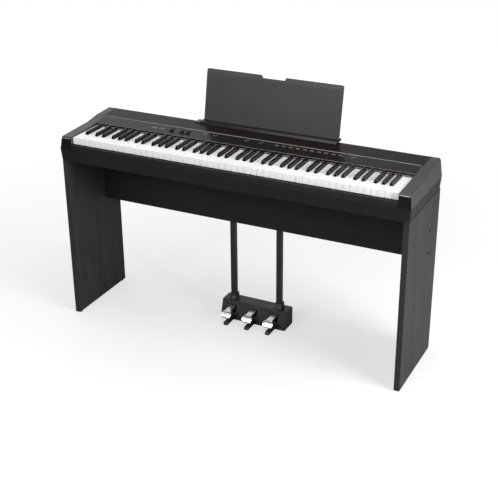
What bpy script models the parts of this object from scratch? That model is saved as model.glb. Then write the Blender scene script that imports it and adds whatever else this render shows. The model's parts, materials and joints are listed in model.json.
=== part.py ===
"""A slab digital piano with 88 keys on its panel stand, with a three-pedal unit.

Metres, +Z up, +X to the treble side, the player sits at -Y. Every piece is placed from the front
of the keyboard (y = 0 at the white keys' fronts), and one empty shifts the whole object so that
the origin lies on the floor, under the middle of its bounding box.
"""

import math

import bmesh
import bpy
from mathutils import Matrix, Vector

# Clearances
THROUGH = 0.0100  # how far a cutter runs past what it cuts
GAP = 0.0003  # between pieces that touch
KEY_GAP = 0.0010  # between neighbouring keys
BORE_GAP = 0.0004  # round a pin or a stem in its hole

# Overall heights
STAND_HEIGHT = 0.6250  # floor to the underside of the case
KEY_TOP_RISE = 0.0895  # underside of the case to the white keys' tops

# Keyboard
KEY_PITCH = 0.0235  # one white key and its gap
KEY_FRONT_HEIGHT = 0.0240
KEY_LENGTH = 0.2100  # front to the end of the hidden tail
HEAD_LENGTH = 0.0490  # wide front part of a white key
BLACK_WIDTH = 0.0110
BLACK_RISE = 0.0110  # above the white keys
BLACK_START = 0.0015  # the black keys' fronts before the end of the white keys' heads
HEAD_GAP = 0.0020  # room in front of a black key, which moves forward as it goes down
BLACK_SLOPE = 0.0050  # how far the front face leans back
BLACK_CAP_GAP = 0.0130  # the end of the caps before the panel's front
TAIL_DROP = 0.0010  # the hidden tails lie this much under the white keys' tops
PIVOT_FROM_END = 0.0050
COMB_BAR_DEPTH = 0.0160

# Case
CASE_WALL = 0.0030
CREASE_RISE = 0.0450  # the widest line, all round the case, above its underside
CREASE_FRONT = -0.0150
CREASE_OVERHANG_FRONT = 0.0020  # crease beyond the case's bottom, in front
CREASE_OVERHANG_REAR = 0.0010
CREASE_OVERHANG = 0.0045  # and at each end
SIDE_CLEARANCE = 0.0015  # outermost key to end block
BLOCK_WIDTH = 0.0455  # end block, at the crease
BLOCK_LEAN = 0.1285  # inward lean of an end block's outer face, per unit of height
BLOCK_STEP_WALL = 0.0028  # left of an end block's inner wall beside the deck
SLIP_DROP = 0.0260  # top of the key slip under the white keys' tops
SLIP_FRONT_TOP = -0.0110
SLIP_BACK = -0.0015
BLOCK_TOP_FRONT = -0.0075
PANEL_FRONT = 0.1525  # visible length of the white keys
PANEL_DEPTH = 0.0590
PANEL_THICKNESS = 0.0030
BLOCK_FRONT_RISE = 0.0025  # this and the next five: above the white keys' tops
PANEL_LIP_RISE = 0.0023
BLOCK_INCLINE_RISE = 0.0080
PANEL_FRONT_RISE = 0.0100
DECK_FRONT_RISE = 0.0185
DECK_REAR_RISE = 0.0223
DECK_EDGE_DEPTH = 0.0090  # depth and drop of the chamfer along the rear edge
DECK_EDGE_DROP = 0.0068
DECK_INSET = 0.0072  # the centre deck reaches this far into the end blocks
BOARD_BOSS = 0.0080

# Felt and key frame
FELT_TO_PANEL = 0.0005  # the felt's rear edge before the panel's front
FELT_DEPTH = 0.0115
FELT_HEIGHT = 0.0016
KEY_FRAME_PLATE = 0.0020
KEY_FRAME_FRONT = 0.0080
KEY_FRAME_TAIL = 0.0250  # behind the keys
RAIL_DEPTH = 0.0100

# Controls
BUTTON_RISE = 0.0012
BUTTON_SKIRT = 0.0034  # below the panel's underside
ROUND_BUTTON_X = (-0.3785, -0.3480)
SMALL_BUTTON = (0.0120, 0.0065)
SLIDER_X = (-0.3070, -0.2660, -0.2415)
SLIDER_CAP = (0.0085, 0.0100)
SLIDER_STEM = (0.0020, 0.0050)
SLIDER_STEM_DROP = 0.0080  # below the panel's face
SLIDER_TRAVEL = 0.0100  # each way
SLIDER_CAP_RISE = 0.0060
CONTROL_LINE = 0.0300  # sliders and small buttons, behind the panel's front edge
ROW_LINE = 0.0410  # the row of buttons, behind the same edge
ROW_START_X = 0.1020
ROW_PITCH = 0.0262
ROW_CAP = (0.0150, 0.0070)
ROW_CAPS_PER_COMB = 5
WEB_THICKNESS = 0.0012
WEB_MARGIN = 0.0010

# Music rest
REST_CENTRE_X = 0.0235
REST_WIDTH = 0.5285
REST_HEIGHT = 0.1895
REST_THICKNESS = 0.0040
REST_LEAN = math.radians(10.3)
REST_TO_REAR = 0.0040  # front of the rest's foot before the case's rear
REST_CORNER = 0.0070
REST_NOTCH = 0.0940
REST_NOTCH_DEPTH = 0.0100
LEDGE_LEFT = 0.0235  # beyond the rest, to the left
LEDGE_RIGHT = 0.0020
LEDGE_ON_DECK = 0.0310  # depth that lies on the deck
LEDGE_OVERHANG = 0.0140  # beyond the case's rear
LEDGE_RISE = 0.0077  # above the deck's rear edge
LEDGE_EDGE = 0.0030
LEDGE_GROOVE_DEPTH = 0.0045
LEDGE_GROOVE_PLAY = 0.0040  # the groove is this much wider than the rest

# Inside and back of the case
BAY_DEPTH = 0.0710  # key frame to the case's rear
SPEAKER_RADIUS = 0.0260
SPEAKER_HEIGHT = 0.0320
SPEAKER_FROM_END = 0.1610  # inwards from the outermost key
SPEAKER_HOLE = 0.0440
BOARD_SIZE = (0.3400, 0.0500, 0.0016)
BOARD_RISE = 0.0145  # above the case's floor
JACK_ROW_X = -0.2500  # middle of the row of sockets
JACK_ROW_RISE = 0.0220  # above the case's underside
JACK_SPACING = 0.0340
JACK_RADII = (0.0035, 0.0045, 0.0045, 0.0060, 0.0060)

# Stand
BOARD_THICKNESS = 0.0200
BOARD_PROUD = 0.0010  # beyond the case's bottom, at each end
BOARD_SETBACK = 0.0010  # behind the case's bottom, in front
BOARD_BEHIND = 0.0060  # beyond the case's rear
GLIDE_HEIGHT = 0.0050
GLIDE_RADIUS = 0.0085
GLIDE_INSET = 0.0160
PANEL_TO_REAR = 0.0920  # back panel's front face before the case's rear
BACK_PANEL_THICKNESS = 0.0160
BACK_PANEL_HEIGHT = 0.2257
BOLT_RISES = (0.0210, 0.1060)  # above the back panel's lower edge
BOLT_RADIUS = 0.0030
BOLT_LENGTH = 0.0450
BOLT_HEAD_RADIUS = 0.0060
BOLT_HEAD_HEIGHT = 0.0018

# Pedal unit, placed from the back panel's front face and from the box's foot
BOX_HALF_WIDTH = 0.1340
BOX_TOP_Z = 0.0700
BOX_TOP_SETBACK = 0.0060  # top front edge behind the back panel's front face
BOX_TOP_DEPTH = 0.0520
BOX_FRONT_LEAN = 0.0210  # the foot's front edge before the top's
BOX_WALL = 0.0025
BASE_THICKNESS = 0.0050
TOE_REACH = 0.0540  # in front of the box
TOE_WIDTH = 0.0170
TOE_HEIGHT = 0.0130
PEDAL_SPACING = 0.0865
PEDAL_AXIS_INSET = 0.0200  # before the box's rear
PEDAL_AXIS_Z = 0.0430
AXLE_RADIUS = 0.0030
HUB_RADIUS = 0.0085
PEDAL_THICKNESS = 0.0060
PEDAL_ARM_WIDTH = 0.0220
PEDAL_HEEL_WIDTH = 0.0340
PEDAL_TOE_WIDTH = 0.0410
PEDAL_NECK = (0.0270, 0.0530)  # before the box's foot, and top z, where the plate starts to flare
PEDAL_BALL = (0.0430, 0.0500)
PEDAL_LIP = (0.0560, 0.0360)
PEDAL_DROP = 0.0180  # room under a pedal in the box's slot
PEDAL_SLOT_GAP = 0.0020
POST_SIZE = 0.0200
POST_X = 0.0940
POST_TOP_DROP = 0.0250  # under the case
COLLAR_WALL = 0.0040
COLLAR_HEIGHT = 0.0250

WHITE_COUNT = 52
FIRST_OCTAVE_C = 2  # white keys A0 and B0 come before the first C
WHITES_PER_OCTAVE = 7
SINGLE_OCTAVE = 4  # the middle octave, whose keys are each a piece of their own
NOTE_NAMES = ("c", "c_sharp", "d", "d_sharp", "e", "f", "f_sharp", "g", "g_sharp", "a", "a_sharp", "b")
IS_BLACK = (False, True, False, True, False, False, True, False, True, False, True, False)

# Derived heights
CASE_BOTTOM_Z = STAND_HEIGHT
CREASE_Z = CASE_BOTTOM_Z + CREASE_RISE
TRAY_FLOOR_Z = CASE_BOTTOM_Z + CASE_WALL
KEY_TOP_Z = CASE_BOTTOM_Z + KEY_TOP_RISE
KEY_BOTTOM_Z = KEY_TOP_Z - KEY_FRONT_HEIGHT
KEY_AXIS_Z = KEY_BOTTOM_Z - GAP
SLIP_TOP_Z = KEY_TOP_Z - SLIP_DROP
BLOCK_TOP_FRONT_Z = KEY_TOP_Z + BLOCK_FRONT_RISE
BLOCK_INCLINE_Z = KEY_TOP_Z + BLOCK_INCLINE_RISE
PANEL_LIP_Z = KEY_TOP_Z + PANEL_LIP_RISE
PANEL_FRONT_Z = KEY_TOP_Z + PANEL_FRONT_RISE
DECK_FRONT_Z = KEY_TOP_Z + DECK_FRONT_RISE
DECK_REAR_Z = KEY_TOP_Z + DECK_REAR_RISE
REAR_CHAMFER_Z = DECK_REAR_Z - DECK_EDGE_DROP
LEDGE_TOP_Z = DECK_REAR_Z + LEDGE_RISE
BOARD_Z = TRAY_FLOOR_Z + BOARD_RISE
JACK_ROW_Z = CASE_BOTTOM_Z + JACK_ROW_RISE
BACK_PANEL_BOTTOM_Z = CASE_BOTTOM_Z - GAP - BACK_PANEL_HEIGHT
BOLT_HEIGHTS = [BACK_PANEL_BOTTOM_Z + rise for rise in BOLT_RISES]
POST_TOP_Z = CASE_BOTTOM_Z - POST_TOP_DROP

# Derived depths
BLACK_FRONT = HEAD_LENGTH - BLACK_START
BLACK_CAP_END = PANEL_FRONT - BLACK_CAP_GAP
FELT_BACK = PANEL_FRONT - FELT_TO_PANEL
FELT_FRONT = FELT_BACK - FELT_DEPTH
KEY_AXIS_Y = KEY_LENGTH - PIVOT_FROM_END
KEY_FRAME_BACK = KEY_LENGTH + KEY_FRAME_TAIL
CASE_REAR = KEY_FRAME_BACK + BAY_DEPTH
CASE_BOTTOM_FRONT = CREASE_FRONT + CREASE_OVERHANG_FRONT
CASE_BOTTOM_REAR = CASE_REAR - CREASE_OVERHANG_REAR
DECK_FRONT = PANEL_FRONT + PANEL_DEPTH
DECK_REAR = CASE_REAR - DECK_EDGE_DEPTH
BAY_MIDDLE = (KEY_FRAME_BACK + CASE_REAR - CASE_WALL) / 2
REST_FOOT = CASE_REAR - REST_TO_REAR
REST_TOP_BACK = REST_FOOT + REST_HEIGHT * math.sin(REST_LEAN) + REST_THICKNESS * math.cos(REST_LEAN)
LEDGE_FRONT = CASE_REAR - LEDGE_ON_DECK
LEDGE_BACK = CASE_REAR + LEDGE_OVERHANG
LEDGE_GROOVE = REST_THICKNESS + LEDGE_GROOVE_PLAY
BOARD_FRONT = CASE_BOTTOM_FRONT + BOARD_SETBACK
BOARD_BACK = CASE_REAR + BOARD_BEHIND
PANEL_Y = CASE_REAR - PANEL_TO_REAR
BOX_TOP_FRONT = PANEL_Y + BOX_TOP_SETBACK
BOX_BACK = BOX_TOP_FRONT + BOX_TOP_DEPTH
BOX_FRONT = BOX_TOP_FRONT - BOX_FRONT_LEAN
TOE_FRONT = BOX_FRONT - TOE_REACH
PEDAL_AXIS = (BOX_BACK - PEDAL_AXIS_INSET, PEDAL_AXIS_Z)
CENTRE_Y = (CREASE_FRONT + max(REST_TOP_BACK, BOARD_BACK, LEDGE_BACK, CASE_REAR)) / 2

# Derived widths
HALF_KEYS = WHITE_COUNT * KEY_PITCH / 2
BLOCK_IN_X = HALF_KEYS + SIDE_CLEARANCE
CREASE_X = BLOCK_IN_X + BLOCK_WIDTH
CASE_BOTTOM_X = CREASE_X - CREASE_OVERHANG
BLOCK_INNER_WALL = DECK_INSET + BLOCK_STEP_WALL
BOARD_OUTER_X = CASE_BOTTOM_X + BOARD_PROUD
SPEAKER_X = HALF_KEYS - SPEAKER_FROM_END


def clear_scene():
    for thing in list(bpy.data.objects):
        bpy.data.objects.remove(thing, do_unlink=True)


def finish(name, colour, roughness, metallic=0.0):
    """A Principled material in one plain colour."""
    made = bpy.data.materials.new(name)
    made.use_nodes = True
    shader = made.node_tree.nodes["Principled BSDF"]
    shader.inputs["Base Color"].default_value = (*colour, 1.0)
    shader.inputs["Roughness"].default_value = roughness
    shader.inputs["Metallic"].default_value = metallic
    return made


def solid(outline, sweep):
    """A closed body: a flat outline pushed along a vector."""
    shape = bmesh.new()
    face = shape.faces.new([shape.verts.new(point) for point in outline])
    pushed = bmesh.ops.extrude_face_region(shape, geom=[face])
    moved = [item for item in pushed["geom"] if isinstance(item, bmesh.types.BMVert)]
    bmesh.ops.translate(shape, vec=sweep, verts=moved)
    bmesh.ops.recalc_face_normals(shape, faces=shape.faces)
    return shape


def rail(profile, x0, x1):
    """A side profile of (y, z) points, run along X."""
    return solid([(x0, y, z) for y, z in profile], (x1 - x0, 0, 0))


def slab(plan, z0, z1):
    """A plan of (x, y) points, run up from z0 to z1."""
    return solid([(x, y, z0) for x, y in plan], (0, 0, z1 - z0))


def block(x0, x1, y0, y1, z0, z1):
    return slab([(x0, y0), (x1, y0), (x1, y1), (x0, y1)], z0, z1)


def rod(radius, start, end, sides=16):
    """A round bar between two points."""
    start, end = Vector(start), Vector(end)
    along = end - start
    shape = bmesh.new()
    bmesh.ops.create_cone(
        shape, cap_ends=True, segments=sides, radius1=radius, radius2=radius, depth=along.length
    )
    turn = along.to_track_quat("Z", "Y").to_matrix().to_4x4()
    bmesh.ops.transform(shape, matrix=Matrix.Translation((start + end) / 2) @ turn, verts=shape.verts)
    return shape


def turned(profile, sides=20):
    """A round body about Z, from (radius, z) points that start and end on the axis."""
    shape = bmesh.new()
    points = [shape.verts.new((radius, 0, z)) for radius, z in profile]
    edges = [shape.edges.new(pair) for pair in zip(points, points[1:])]
    bmesh.ops.spin(
        shape,
        geom=points + edges,
        cent=(0, 0, 0),
        axis=(0, 0, 1),
        angle=math.tau,
        steps=sides,
        use_merge=True,
    )
    bmesh.ops.remove_doubles(shape, verts=shape.verts, dist=1e-6)
    bmesh.ops.recalc_face_normals(shape, faces=shape.faces)
    return shape


def moved(shape, offset):
    bmesh.ops.translate(shape, vec=offset, verts=shape.verts)
    return shape


def together(shapes):
    """Several bodies in one bmesh."""
    whole = bmesh.new()
    for shape in shapes:
        spare = bpy.data.meshes.new("spare")
        shape.to_mesh(spare)
        whole.from_mesh(spare)
        shape.free()
        bpy.data.meshes.remove(spare)
    return whole


def helper(name, shape, frame):
    """A hidden body that cuts or joins."""
    made = place(name, shape, None, frame)
    made.hide_render = True
    made.display_type = "WIRE"
    return made


def place(name, shape, material, frame, pivot=(0, 0, 0), round_edges=False):
    """An object whose origin is its pivot, from a shape in the keyboard's coordinates."""
    mesh = bpy.data.meshes.new(name)
    moved(shape, -Vector(pivot)).to_mesh(mesh)
    shape.free()
    made = bpy.data.objects.new(name, mesh)
    bpy.context.scene.collection.objects.link(made)
    made.parent = frame
    made.location = pivot
    if material:
        mesh.materials.append(material)
    if round_edges:
        mesh.shade_smooth()
        mesh.set_sharp_from_angle(angle=math.radians(35))
    return made


def boolean(target, shape, operation, frame):
    other = helper(f"{target.name}_{operation.lower()}_{len(target.modifiers)}", shape, frame)
    modifier = target.modifiers.new(operation.title(), "BOOLEAN")
    modifier.operation = operation
    modifier.solver = "EXACT"
    modifier.object = other


def mirrored_x(x0, x1, side):
    """The same stretch of X on the left (side -1) or the right (side 1), lower end first."""
    return (x0, x1) if side > 0 else (-x1, -x0)


def inset(outline, wall):
    """A flat outline moved inwards by a wall, for an outline whose points run clockwise in (y, z)."""
    made = []
    count = len(outline)
    for i in range(count):
        before, here, after = (Vector(outline[(i + k) % count]) for k in (-1, 0, 1))
        first, second = (here - before).normalized(), (after - here).normalized()
        inward_1, inward_2 = Vector((first.y, -first.x)), Vector((second.y, -second.x))
        middle = (inward_1 + inward_2).normalized()
        made.append(tuple(here + middle * wall / middle.dot(inward_1)))
    return made


def deck_height(y):
    """Top of the rear deck at a depth y."""
    return DECK_FRONT_Z + (DECK_REAR_Z - DECK_FRONT_Z) * (y - DECK_FRONT) / (DECK_REAR - DECK_FRONT)


def panel_height(y):
    """Top of the control panel at a depth y."""
    return PANEL_FRONT_Z + (DECK_FRONT_Z - PANEL_FRONT_Z) * (y - PANEL_FRONT) / (DECK_FRONT - PANEL_FRONT)


def panel_underside(y):
    return panel_height(y) - PANEL_THICKNESS


# Keys


def white_edges(index):
    left = -HALF_KEYS + index * KEY_PITCH
    return left + KEY_GAP / 2, left + KEY_PITCH - KEY_GAP / 2


def black_centre(octave_left, note):
    """The tails of C to E share three pitches equally, and those of F to B share four."""
    if note < 5:
        return octave_left + (note + 0.5) * 3 * KEY_PITCH / 5
    return octave_left + 3 * KEY_PITCH + (note - 5 + 0.5) * 4 * KEY_PITCH / 7


def octave_left_x(octave):
    return -HALF_KEYS + (FIRST_OCTAVE_C + (octave - 1) * WHITES_PER_OCTAVE) * KEY_PITCH


def white_index(octave, note):
    before = sum(1 for other in range(note) if not IS_BLACK[other])
    return FIRST_OCTAVE_C + (octave - 1) * WHITES_PER_OCTAVE + before


def black_shape(centre):
    """The raised cap with its leaning front, and the lower tail behind it."""
    profile = [
        (BLACK_FRONT, KEY_BOTTOM_Z),
        (BLACK_FRONT, KEY_TOP_Z),
        (BLACK_FRONT + BLACK_SLOPE, KEY_TOP_Z + BLACK_RISE),
        (BLACK_CAP_END, KEY_TOP_Z + BLACK_RISE),
        (BLACK_CAP_END, KEY_TOP_Z - TAIL_DROP),
        (KEY_LENGTH, KEY_TOP_Z - TAIL_DROP),
        (KEY_LENGTH, KEY_BOTTOM_Z),
    ]
    return rail(profile, centre - BLACK_WIDTH / 2, centre + BLACK_WIDTH / 2)


def white_shape(octave, note, black_left=True, black_right=True):
    """A white key: the head, and a tail that leaves room for the black keys beside it."""
    left, right = white_edges(white_index(octave, note))
    start = octave_left_x(octave)
    tail_left, tail_right = left, right
    if black_left and note > 0 and IS_BLACK[note - 1]:
        tail_left = black_centre(start, note - 1) + BLACK_WIDTH / 2 + KEY_GAP
    if black_right and note < 11 and IS_BLACK[note + 1]:
        tail_right = black_centre(start, note + 1) - BLACK_WIDTH / 2 - KEY_GAP
    head = BLACK_FRONT - HEAD_GAP
    plan = [(left, 0), (right, 0), (right, head)]
    if tail_right != right:
        plan += [(tail_right, head)]
    plan += [(tail_right, KEY_LENGTH), (tail_left, KEY_LENGTH)]
    if tail_left != left:
        plan += [(tail_left, head)]
    plan += [(left, head)]
    unique = [point for i, point in enumerate(plan) if point != plan[i - 1]]
    return slab(unique, KEY_BOTTOM_Z, KEY_TOP_Z)


def octave_notes():
    """Every (octave, note) of the 88 keys, from A0 to C8."""
    lowest = [(0, note) for note in (9, 10, 11)]
    middle = [(octave, note) for octave in range(1, 8) for note in range(12)]
    return lowest + middle + [(8, 0)]


def key_shape(octave, note):
    if IS_BLACK[note]:
        return black_shape(black_centre(octave_left_x(octave), note))
    has_right = octave < 8
    has_left = (octave, note) != (0, 9)
    return white_shape(octave, note, has_left, has_right)


def make_single_keys(frame, white, black):
    """The middle octave, one piece a key, each turning on the rear rail."""
    for note, name in enumerate(NOTE_NAMES):
        shape = key_shape(SINGLE_OCTAVE, note)
        middle = sum(vert.co.x for vert in shape.verts) / len(shape.verts)
        material = black if IS_BLACK[note] else white
        place(f"key_{name}4", shape, material, frame, (middle, KEY_AXIS_Y, KEY_AXIS_Z))


def make_key_units(frame, white):
    """The other octaves: keys joined by a hidden bar at their tails, as key units are moulded."""
    units = {
        "key_unit_low": (0, 1),
        "key_unit_2": (2,),
        "key_unit_3": (3,),
        "key_unit_5": (5,),
        "key_unit_6": (6,),
        "key_unit_high": (7, 8),
    }
    for name, octaves in units.items():
        shapes = [key_shape(octave, note) for octave, note in octave_notes() if octave in octaves]
        xs = [vert.co.x for shape in shapes for vert in shape.verts]
        pivot = ((min(xs) + max(xs)) / 2, KEY_AXIS_Y, KEY_AXIS_Z)
        top = KEY_TOP_Z - 2 * TAIL_DROP
        bar = block(
            min(xs), max(xs), KEY_LENGTH - COMB_BAR_DEPTH, KEY_LENGTH - GAP, KEY_BOTTOM_Z + GAP, top
        )
        unit = place(name, bar, white, frame, pivot)
        boolean(unit, together(shapes), "UNION", frame)


# Case


def case_band(shrink, low_z, high_z):
    """The case's leaning band as a closed body, each wall moved inwards by a shrink."""
    low = (CASE_BOTTOM_X - shrink, CASE_BOTTOM_FRONT + shrink, CASE_BOTTOM_REAR, low_z)
    high = (CREASE_X - shrink, CREASE_FRONT + shrink, CASE_REAR, high_z)
    return low, high


def make_lower_case(frame, black):
    """The band under the crease: front and both ends in one, open at the rear, where the rear panel goes."""
    case = place("lower_case", tapered(*case_band(0, CASE_BOTTOM_Z, CREASE_Z)), black, frame)
    past = CASE_WALL / 3
    low, high = case_band(CASE_WALL, CASE_BOTTOM_Z - past, CREASE_Z + past)
    low = (*low[:2], CASE_BOTTOM_REAR + THROUGH, low[3])
    high = (*high[:2], CASE_REAR + THROUGH, high[3])
    boolean(case, tapered(low, high), "DIFFERENCE", frame)


def make_bottom_plate(frame, black):
    """The floor inside the band, with a hole under each speaker and four bosses for the main board."""
    half = CASE_BOTTOM_X - CASE_WALL - GAP
    front, back = CASE_BOTTOM_FRONT + CASE_WALL + GAP, CASE_BOTTOM_REAR - CASE_WALL - GAP
    floor = TRAY_FLOOR_Z
    plate = place("bottom_plate", block(-half, half, front, back, CASE_BOTTOM_Z, floor), black, frame)
    cuts = []
    for x in (-SPEAKER_X, SPEAKER_X):
        below, above = CASE_BOTTOM_Z - CASE_WALL, floor + CASE_WALL
        cuts.append(rod(SPEAKER_HOLE / 2, (x, BAY_MIDDLE, below), (x, BAY_MIDDLE, above)))
    boolean(plate, together(cuts), "DIFFERENCE", frame)
    length, depth, _ = BOARD_SIZE
    x, half, top = length / 2 - BOARD_BOSS, BOARD_BOSS / 2, BOARD_Z - GAP
    bosses = [
        block(cx - half, cx + half, cy - half, cy + half, floor - GAP, top)
        for cx in (-x, x)
        for cy in (BAY_MIDDLE - depth / 2 + BOARD_BOSS, BAY_MIDDLE + depth / 2 - BOARD_BOSS)
    ]
    boolean(plate, together(bosses), "UNION", frame)


def make_rear_panel(frame, black):
    """The plate that closes the band at the rear, with the sockets' holes."""
    low, high = case_band(CASE_WALL + GAP, CASE_BOTTOM_Z, CREASE_Z)
    low = (low[0], CASE_BOTTOM_REAR - CASE_WALL, *low[2:])
    high = (high[0], CASE_REAR - CASE_WALL, *high[2:])
    panel = place("rear_panel", tapered(low, high), black, frame)
    holes = []
    for i, radius in enumerate(JACK_RADII):
        x = JACK_ROW_X + (i - (len(JACK_RADII) - 1) / 2) * JACK_SPACING
        ends = [(x, y, JACK_ROW_Z) for y in (CASE_REAR - CASE_WALL - THROUGH, CASE_REAR + THROUGH)]
        holes.append(rod(radius, *ends))
    boolean(panel, together(holes), "DIFFERENCE", frame)


def tapered(low, high):
    """A closed body between two rectangles, each (half width, front, back, z)."""
    half, front, back, z = low
    shape = block(-half, half, front, back, z, high[3])
    for vert in shape.verts:
        if vert.co.z > (z + high[3]) / 2:
            vert.co.x = math.copysign(high[0], vert.co.x)
            vert.co.y = high[1] if vert.co.y < (front + back) / 2 else high[2]
    return shape


def block_profile(bottom):
    """Side view of an end block, clockwise from its lower front corner."""
    lean = (BLOCK_TOP_FRONT - CREASE_FRONT) / (BLOCK_TOP_FRONT_Z - CREASE_Z)
    return [
        (CREASE_FRONT + lean * (bottom - CREASE_Z), bottom),
        (BLOCK_TOP_FRONT, BLOCK_TOP_FRONT_Z),
        (PANEL_FRONT, BLOCK_INCLINE_Z),
        (DECK_FRONT, DECK_FRONT_Z),
        (DECK_REAR, DECK_REAR_Z),
        (CASE_REAR - CREASE_OVERHANG_REAR, REAR_CHAMFER_Z),
        (CASE_REAR, bottom),
    ]


def leaning(shape, inner_x, outer_x, lower_z):
    """Moves the outer side's points in, more the higher they are."""
    for vert in shape.verts:
        if abs(abs(vert.co.x) - outer_x) < abs(abs(vert.co.x) - inner_x):
            vert.co.x -= math.copysign(BLOCK_LEAN * (vert.co.z - lower_z), vert.co.x)
    return shape


def make_end_block(name, side, frame, grey):
    lower_z = CREASE_Z + GAP
    shape = rail(block_profile(lower_z), *mirrored_x(BLOCK_IN_X, CREASE_X, side))
    made = place(name, leaning(shape, BLOCK_IN_X, CREASE_X, lower_z), grey, frame)
    inner, outer = BLOCK_IN_X + BLOCK_INNER_WALL, CREASE_X - CASE_WALL
    core = inset(block_profile(lower_z - 2 * CASE_WALL), CASE_WALL)
    hollow = rail(core, *mirrored_x(inner, outer, side))
    boolean(made, leaning(hollow, inner, outer, lower_z), "DIFFERENCE", frame)
    step = block(
        *mirrored_x(BLOCK_IN_X - THROUGH, BLOCK_IN_X + DECK_INSET, side),
        DECK_FRONT,
        CASE_REAR + THROUGH,
        CREASE_Z - THROUGH,
        DECK_REAR_Z + THROUGH,
    )
    boolean(made, step, "DIFFERENCE", frame)


def make_key_slip(frame, black):
    profile = [
        (CREASE_FRONT, CREASE_Z + GAP),
        (SLIP_FRONT_TOP, SLIP_TOP_Z),
        (SLIP_BACK, SLIP_TOP_Z),
        (SLIP_BACK, CREASE_Z + GAP),
    ]
    half = BLOCK_IN_X - GAP
    place("key_slip", rail(profile, -half, half), black, frame)


def make_top_cover(frame, deck):
    """Rear deck, chamfered rear edge and rear wall, as one folded cover."""
    outer = [
        (DECK_FRONT + GAP, deck_height(DECK_FRONT)),
        (DECK_REAR, DECK_REAR_Z),
        (CASE_REAR - CREASE_OVERHANG_REAR, REAR_CHAMFER_Z),
        (CASE_REAR, CREASE_Z + GAP),
        (CASE_REAR - CASE_WALL, CREASE_Z + GAP),
        (CASE_REAR - CREASE_OVERHANG_REAR - CASE_WALL, REAR_CHAMFER_Z - CASE_WALL / 2),
        (DECK_REAR - CASE_WALL / 2, DECK_REAR_Z - CASE_WALL),
        (DECK_FRONT + GAP, deck_height(DECK_FRONT) - CASE_WALL),
    ]
    half = BLOCK_IN_X + DECK_INSET - GAP
    place("top_cover", rail(outer, -half, half), deck, frame)


def row_centres(comb):
    start = ROW_START_X + comb * ROW_CAPS_PER_COMB * ROW_PITCH
    return [start + i * ROW_PITCH for i in range(ROW_CAPS_PER_COMB)]


def make_control_panel(frame, gloss):
    """The inclined strip with its front lip, cut for the buttons and the sliders' stems."""
    profile = [
        (PANEL_FRONT, PANEL_LIP_Z),
        (PANEL_FRONT, PANEL_FRONT_Z),
        (DECK_FRONT, panel_height(DECK_FRONT)),
        (DECK_FRONT, panel_underside(DECK_FRONT)),
        (PANEL_FRONT + PANEL_THICKNESS, panel_underside(PANEL_FRONT + PANEL_THICKNESS)),
        (PANEL_FRONT + PANEL_THICKNESS, PANEL_LIP_Z),
    ]
    half = BLOCK_IN_X - GAP
    panel = place("control_panel", rail(profile, -half, half), gloss, frame)
    front, rear = PANEL_FRONT + CONTROL_LINE, PANEL_FRONT + ROW_LINE
    holes = [(x, front, SMALL_BUTTON, 0) for x in ROUND_BUTTON_X]
    holes += [(x, rear, ROW_CAP, 0) for comb in (0, 1) for x in row_centres(comb)]
    holes += [(x, front, SLIDER_STEM, SLIDER_TRAVEL) for x in SLIDER_X]
    cuts = []
    for x, y, (width, depth), travel in holes:
        across, along = width / 2 + BORE_GAP, depth / 2 + travel + BORE_GAP
        below, above = panel_underside(PANEL_FRONT) - THROUGH, DECK_FRONT_Z + THROUGH
        cuts.append(block(x - across, x + across, y - along, y + along, below, above))
    boolean(panel, together(cuts), "DIFFERENCE", frame)


def button_shape(x, size, y):
    """A cap that stands a little proud of the panel, with its skirt below the panel."""
    width, depth = size
    low = panel_underside(y) - BUTTON_SKIRT
    profile = [
        (y - depth / 2, low),
        (y - depth / 2, panel_height(y - depth / 2) + BUTTON_RISE),
        (y + depth / 2, panel_height(y + depth / 2) + BUTTON_RISE),
        (y + depth / 2, low),
    ]
    return rail(profile, x - width / 2, x + width / 2)


def make_buttons(frame, black, brown):
    y = PANEL_FRONT + CONTROL_LINE
    for name, x in zip(("power_button", "function_button"), ROUND_BUTTON_X):
        place(name, button_shape(x, SMALL_BUTTON, y), black, frame, (x, y, panel_height(y)))
    y = PANEL_FRONT + ROW_LINE
    for comb, name in enumerate(("button_comb_left", "button_comb_right")):
        xs = row_centres(comb)
        low = panel_underside(y) - BUTTON_SKIRT
        web = block(
            xs[0] - ROW_CAP[0] / 2,
            xs[-1] + ROW_CAP[0] / 2,
            y - ROW_CAP[1] / 2 - WEB_MARGIN,
            y + ROW_CAP[1] / 2 + WEB_MARGIN,
            low,
            low + WEB_THICKNESS,
        )
        made = place(name, web, brown, frame, (sum(xs) / len(xs), y, panel_height(y)))
        boolean(made, together([button_shape(x, ROW_CAP, y) for x in xs]), "UNION", frame)


def make_sliders(frame, black):
    y = PANEL_FRONT + CONTROL_LINE
    cap_width, cap_depth = SLIDER_CAP
    stem_width, stem_depth = SLIDER_STEM
    lean = math.atan2(DECK_FRONT_Z - PANEL_FRONT_Z, DECK_FRONT - PANEL_FRONT)
    top_half = cap_depth * 0.36
    for name, x in zip(("volume_slider", "balance_slider", "tone_slider"), SLIDER_X):
        profile = [
            (-cap_depth / 2, GAP),
            (-top_half, SLIDER_CAP_RISE),
            (top_half, SLIDER_CAP_RISE),
            (cap_depth / 2, GAP),
        ]
        pivot = Vector((x, y, panel_height(y)))
        made = place(name, rail(profile, -cap_width / 2, cap_width / 2), black, frame)
        made.location = pivot
        made.rotation_euler = (lean, 0, 0)
        across, along = stem_width / 2, stem_depth / 2
        stem = block(-across, across, -along, along, -SLIDER_STEM_DROP, SLIDER_CAP_RISE / 2)
        other = helper(f"{name}_stem", stem, frame)
        other.location = pivot
        other.rotation_euler = (lean, 0, 0)
        modifier = made.modifiers.new("Stem", "BOOLEAN")
        modifier.operation = "UNION"
        modifier.solver = "EXACT"
        modifier.object = other


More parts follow.
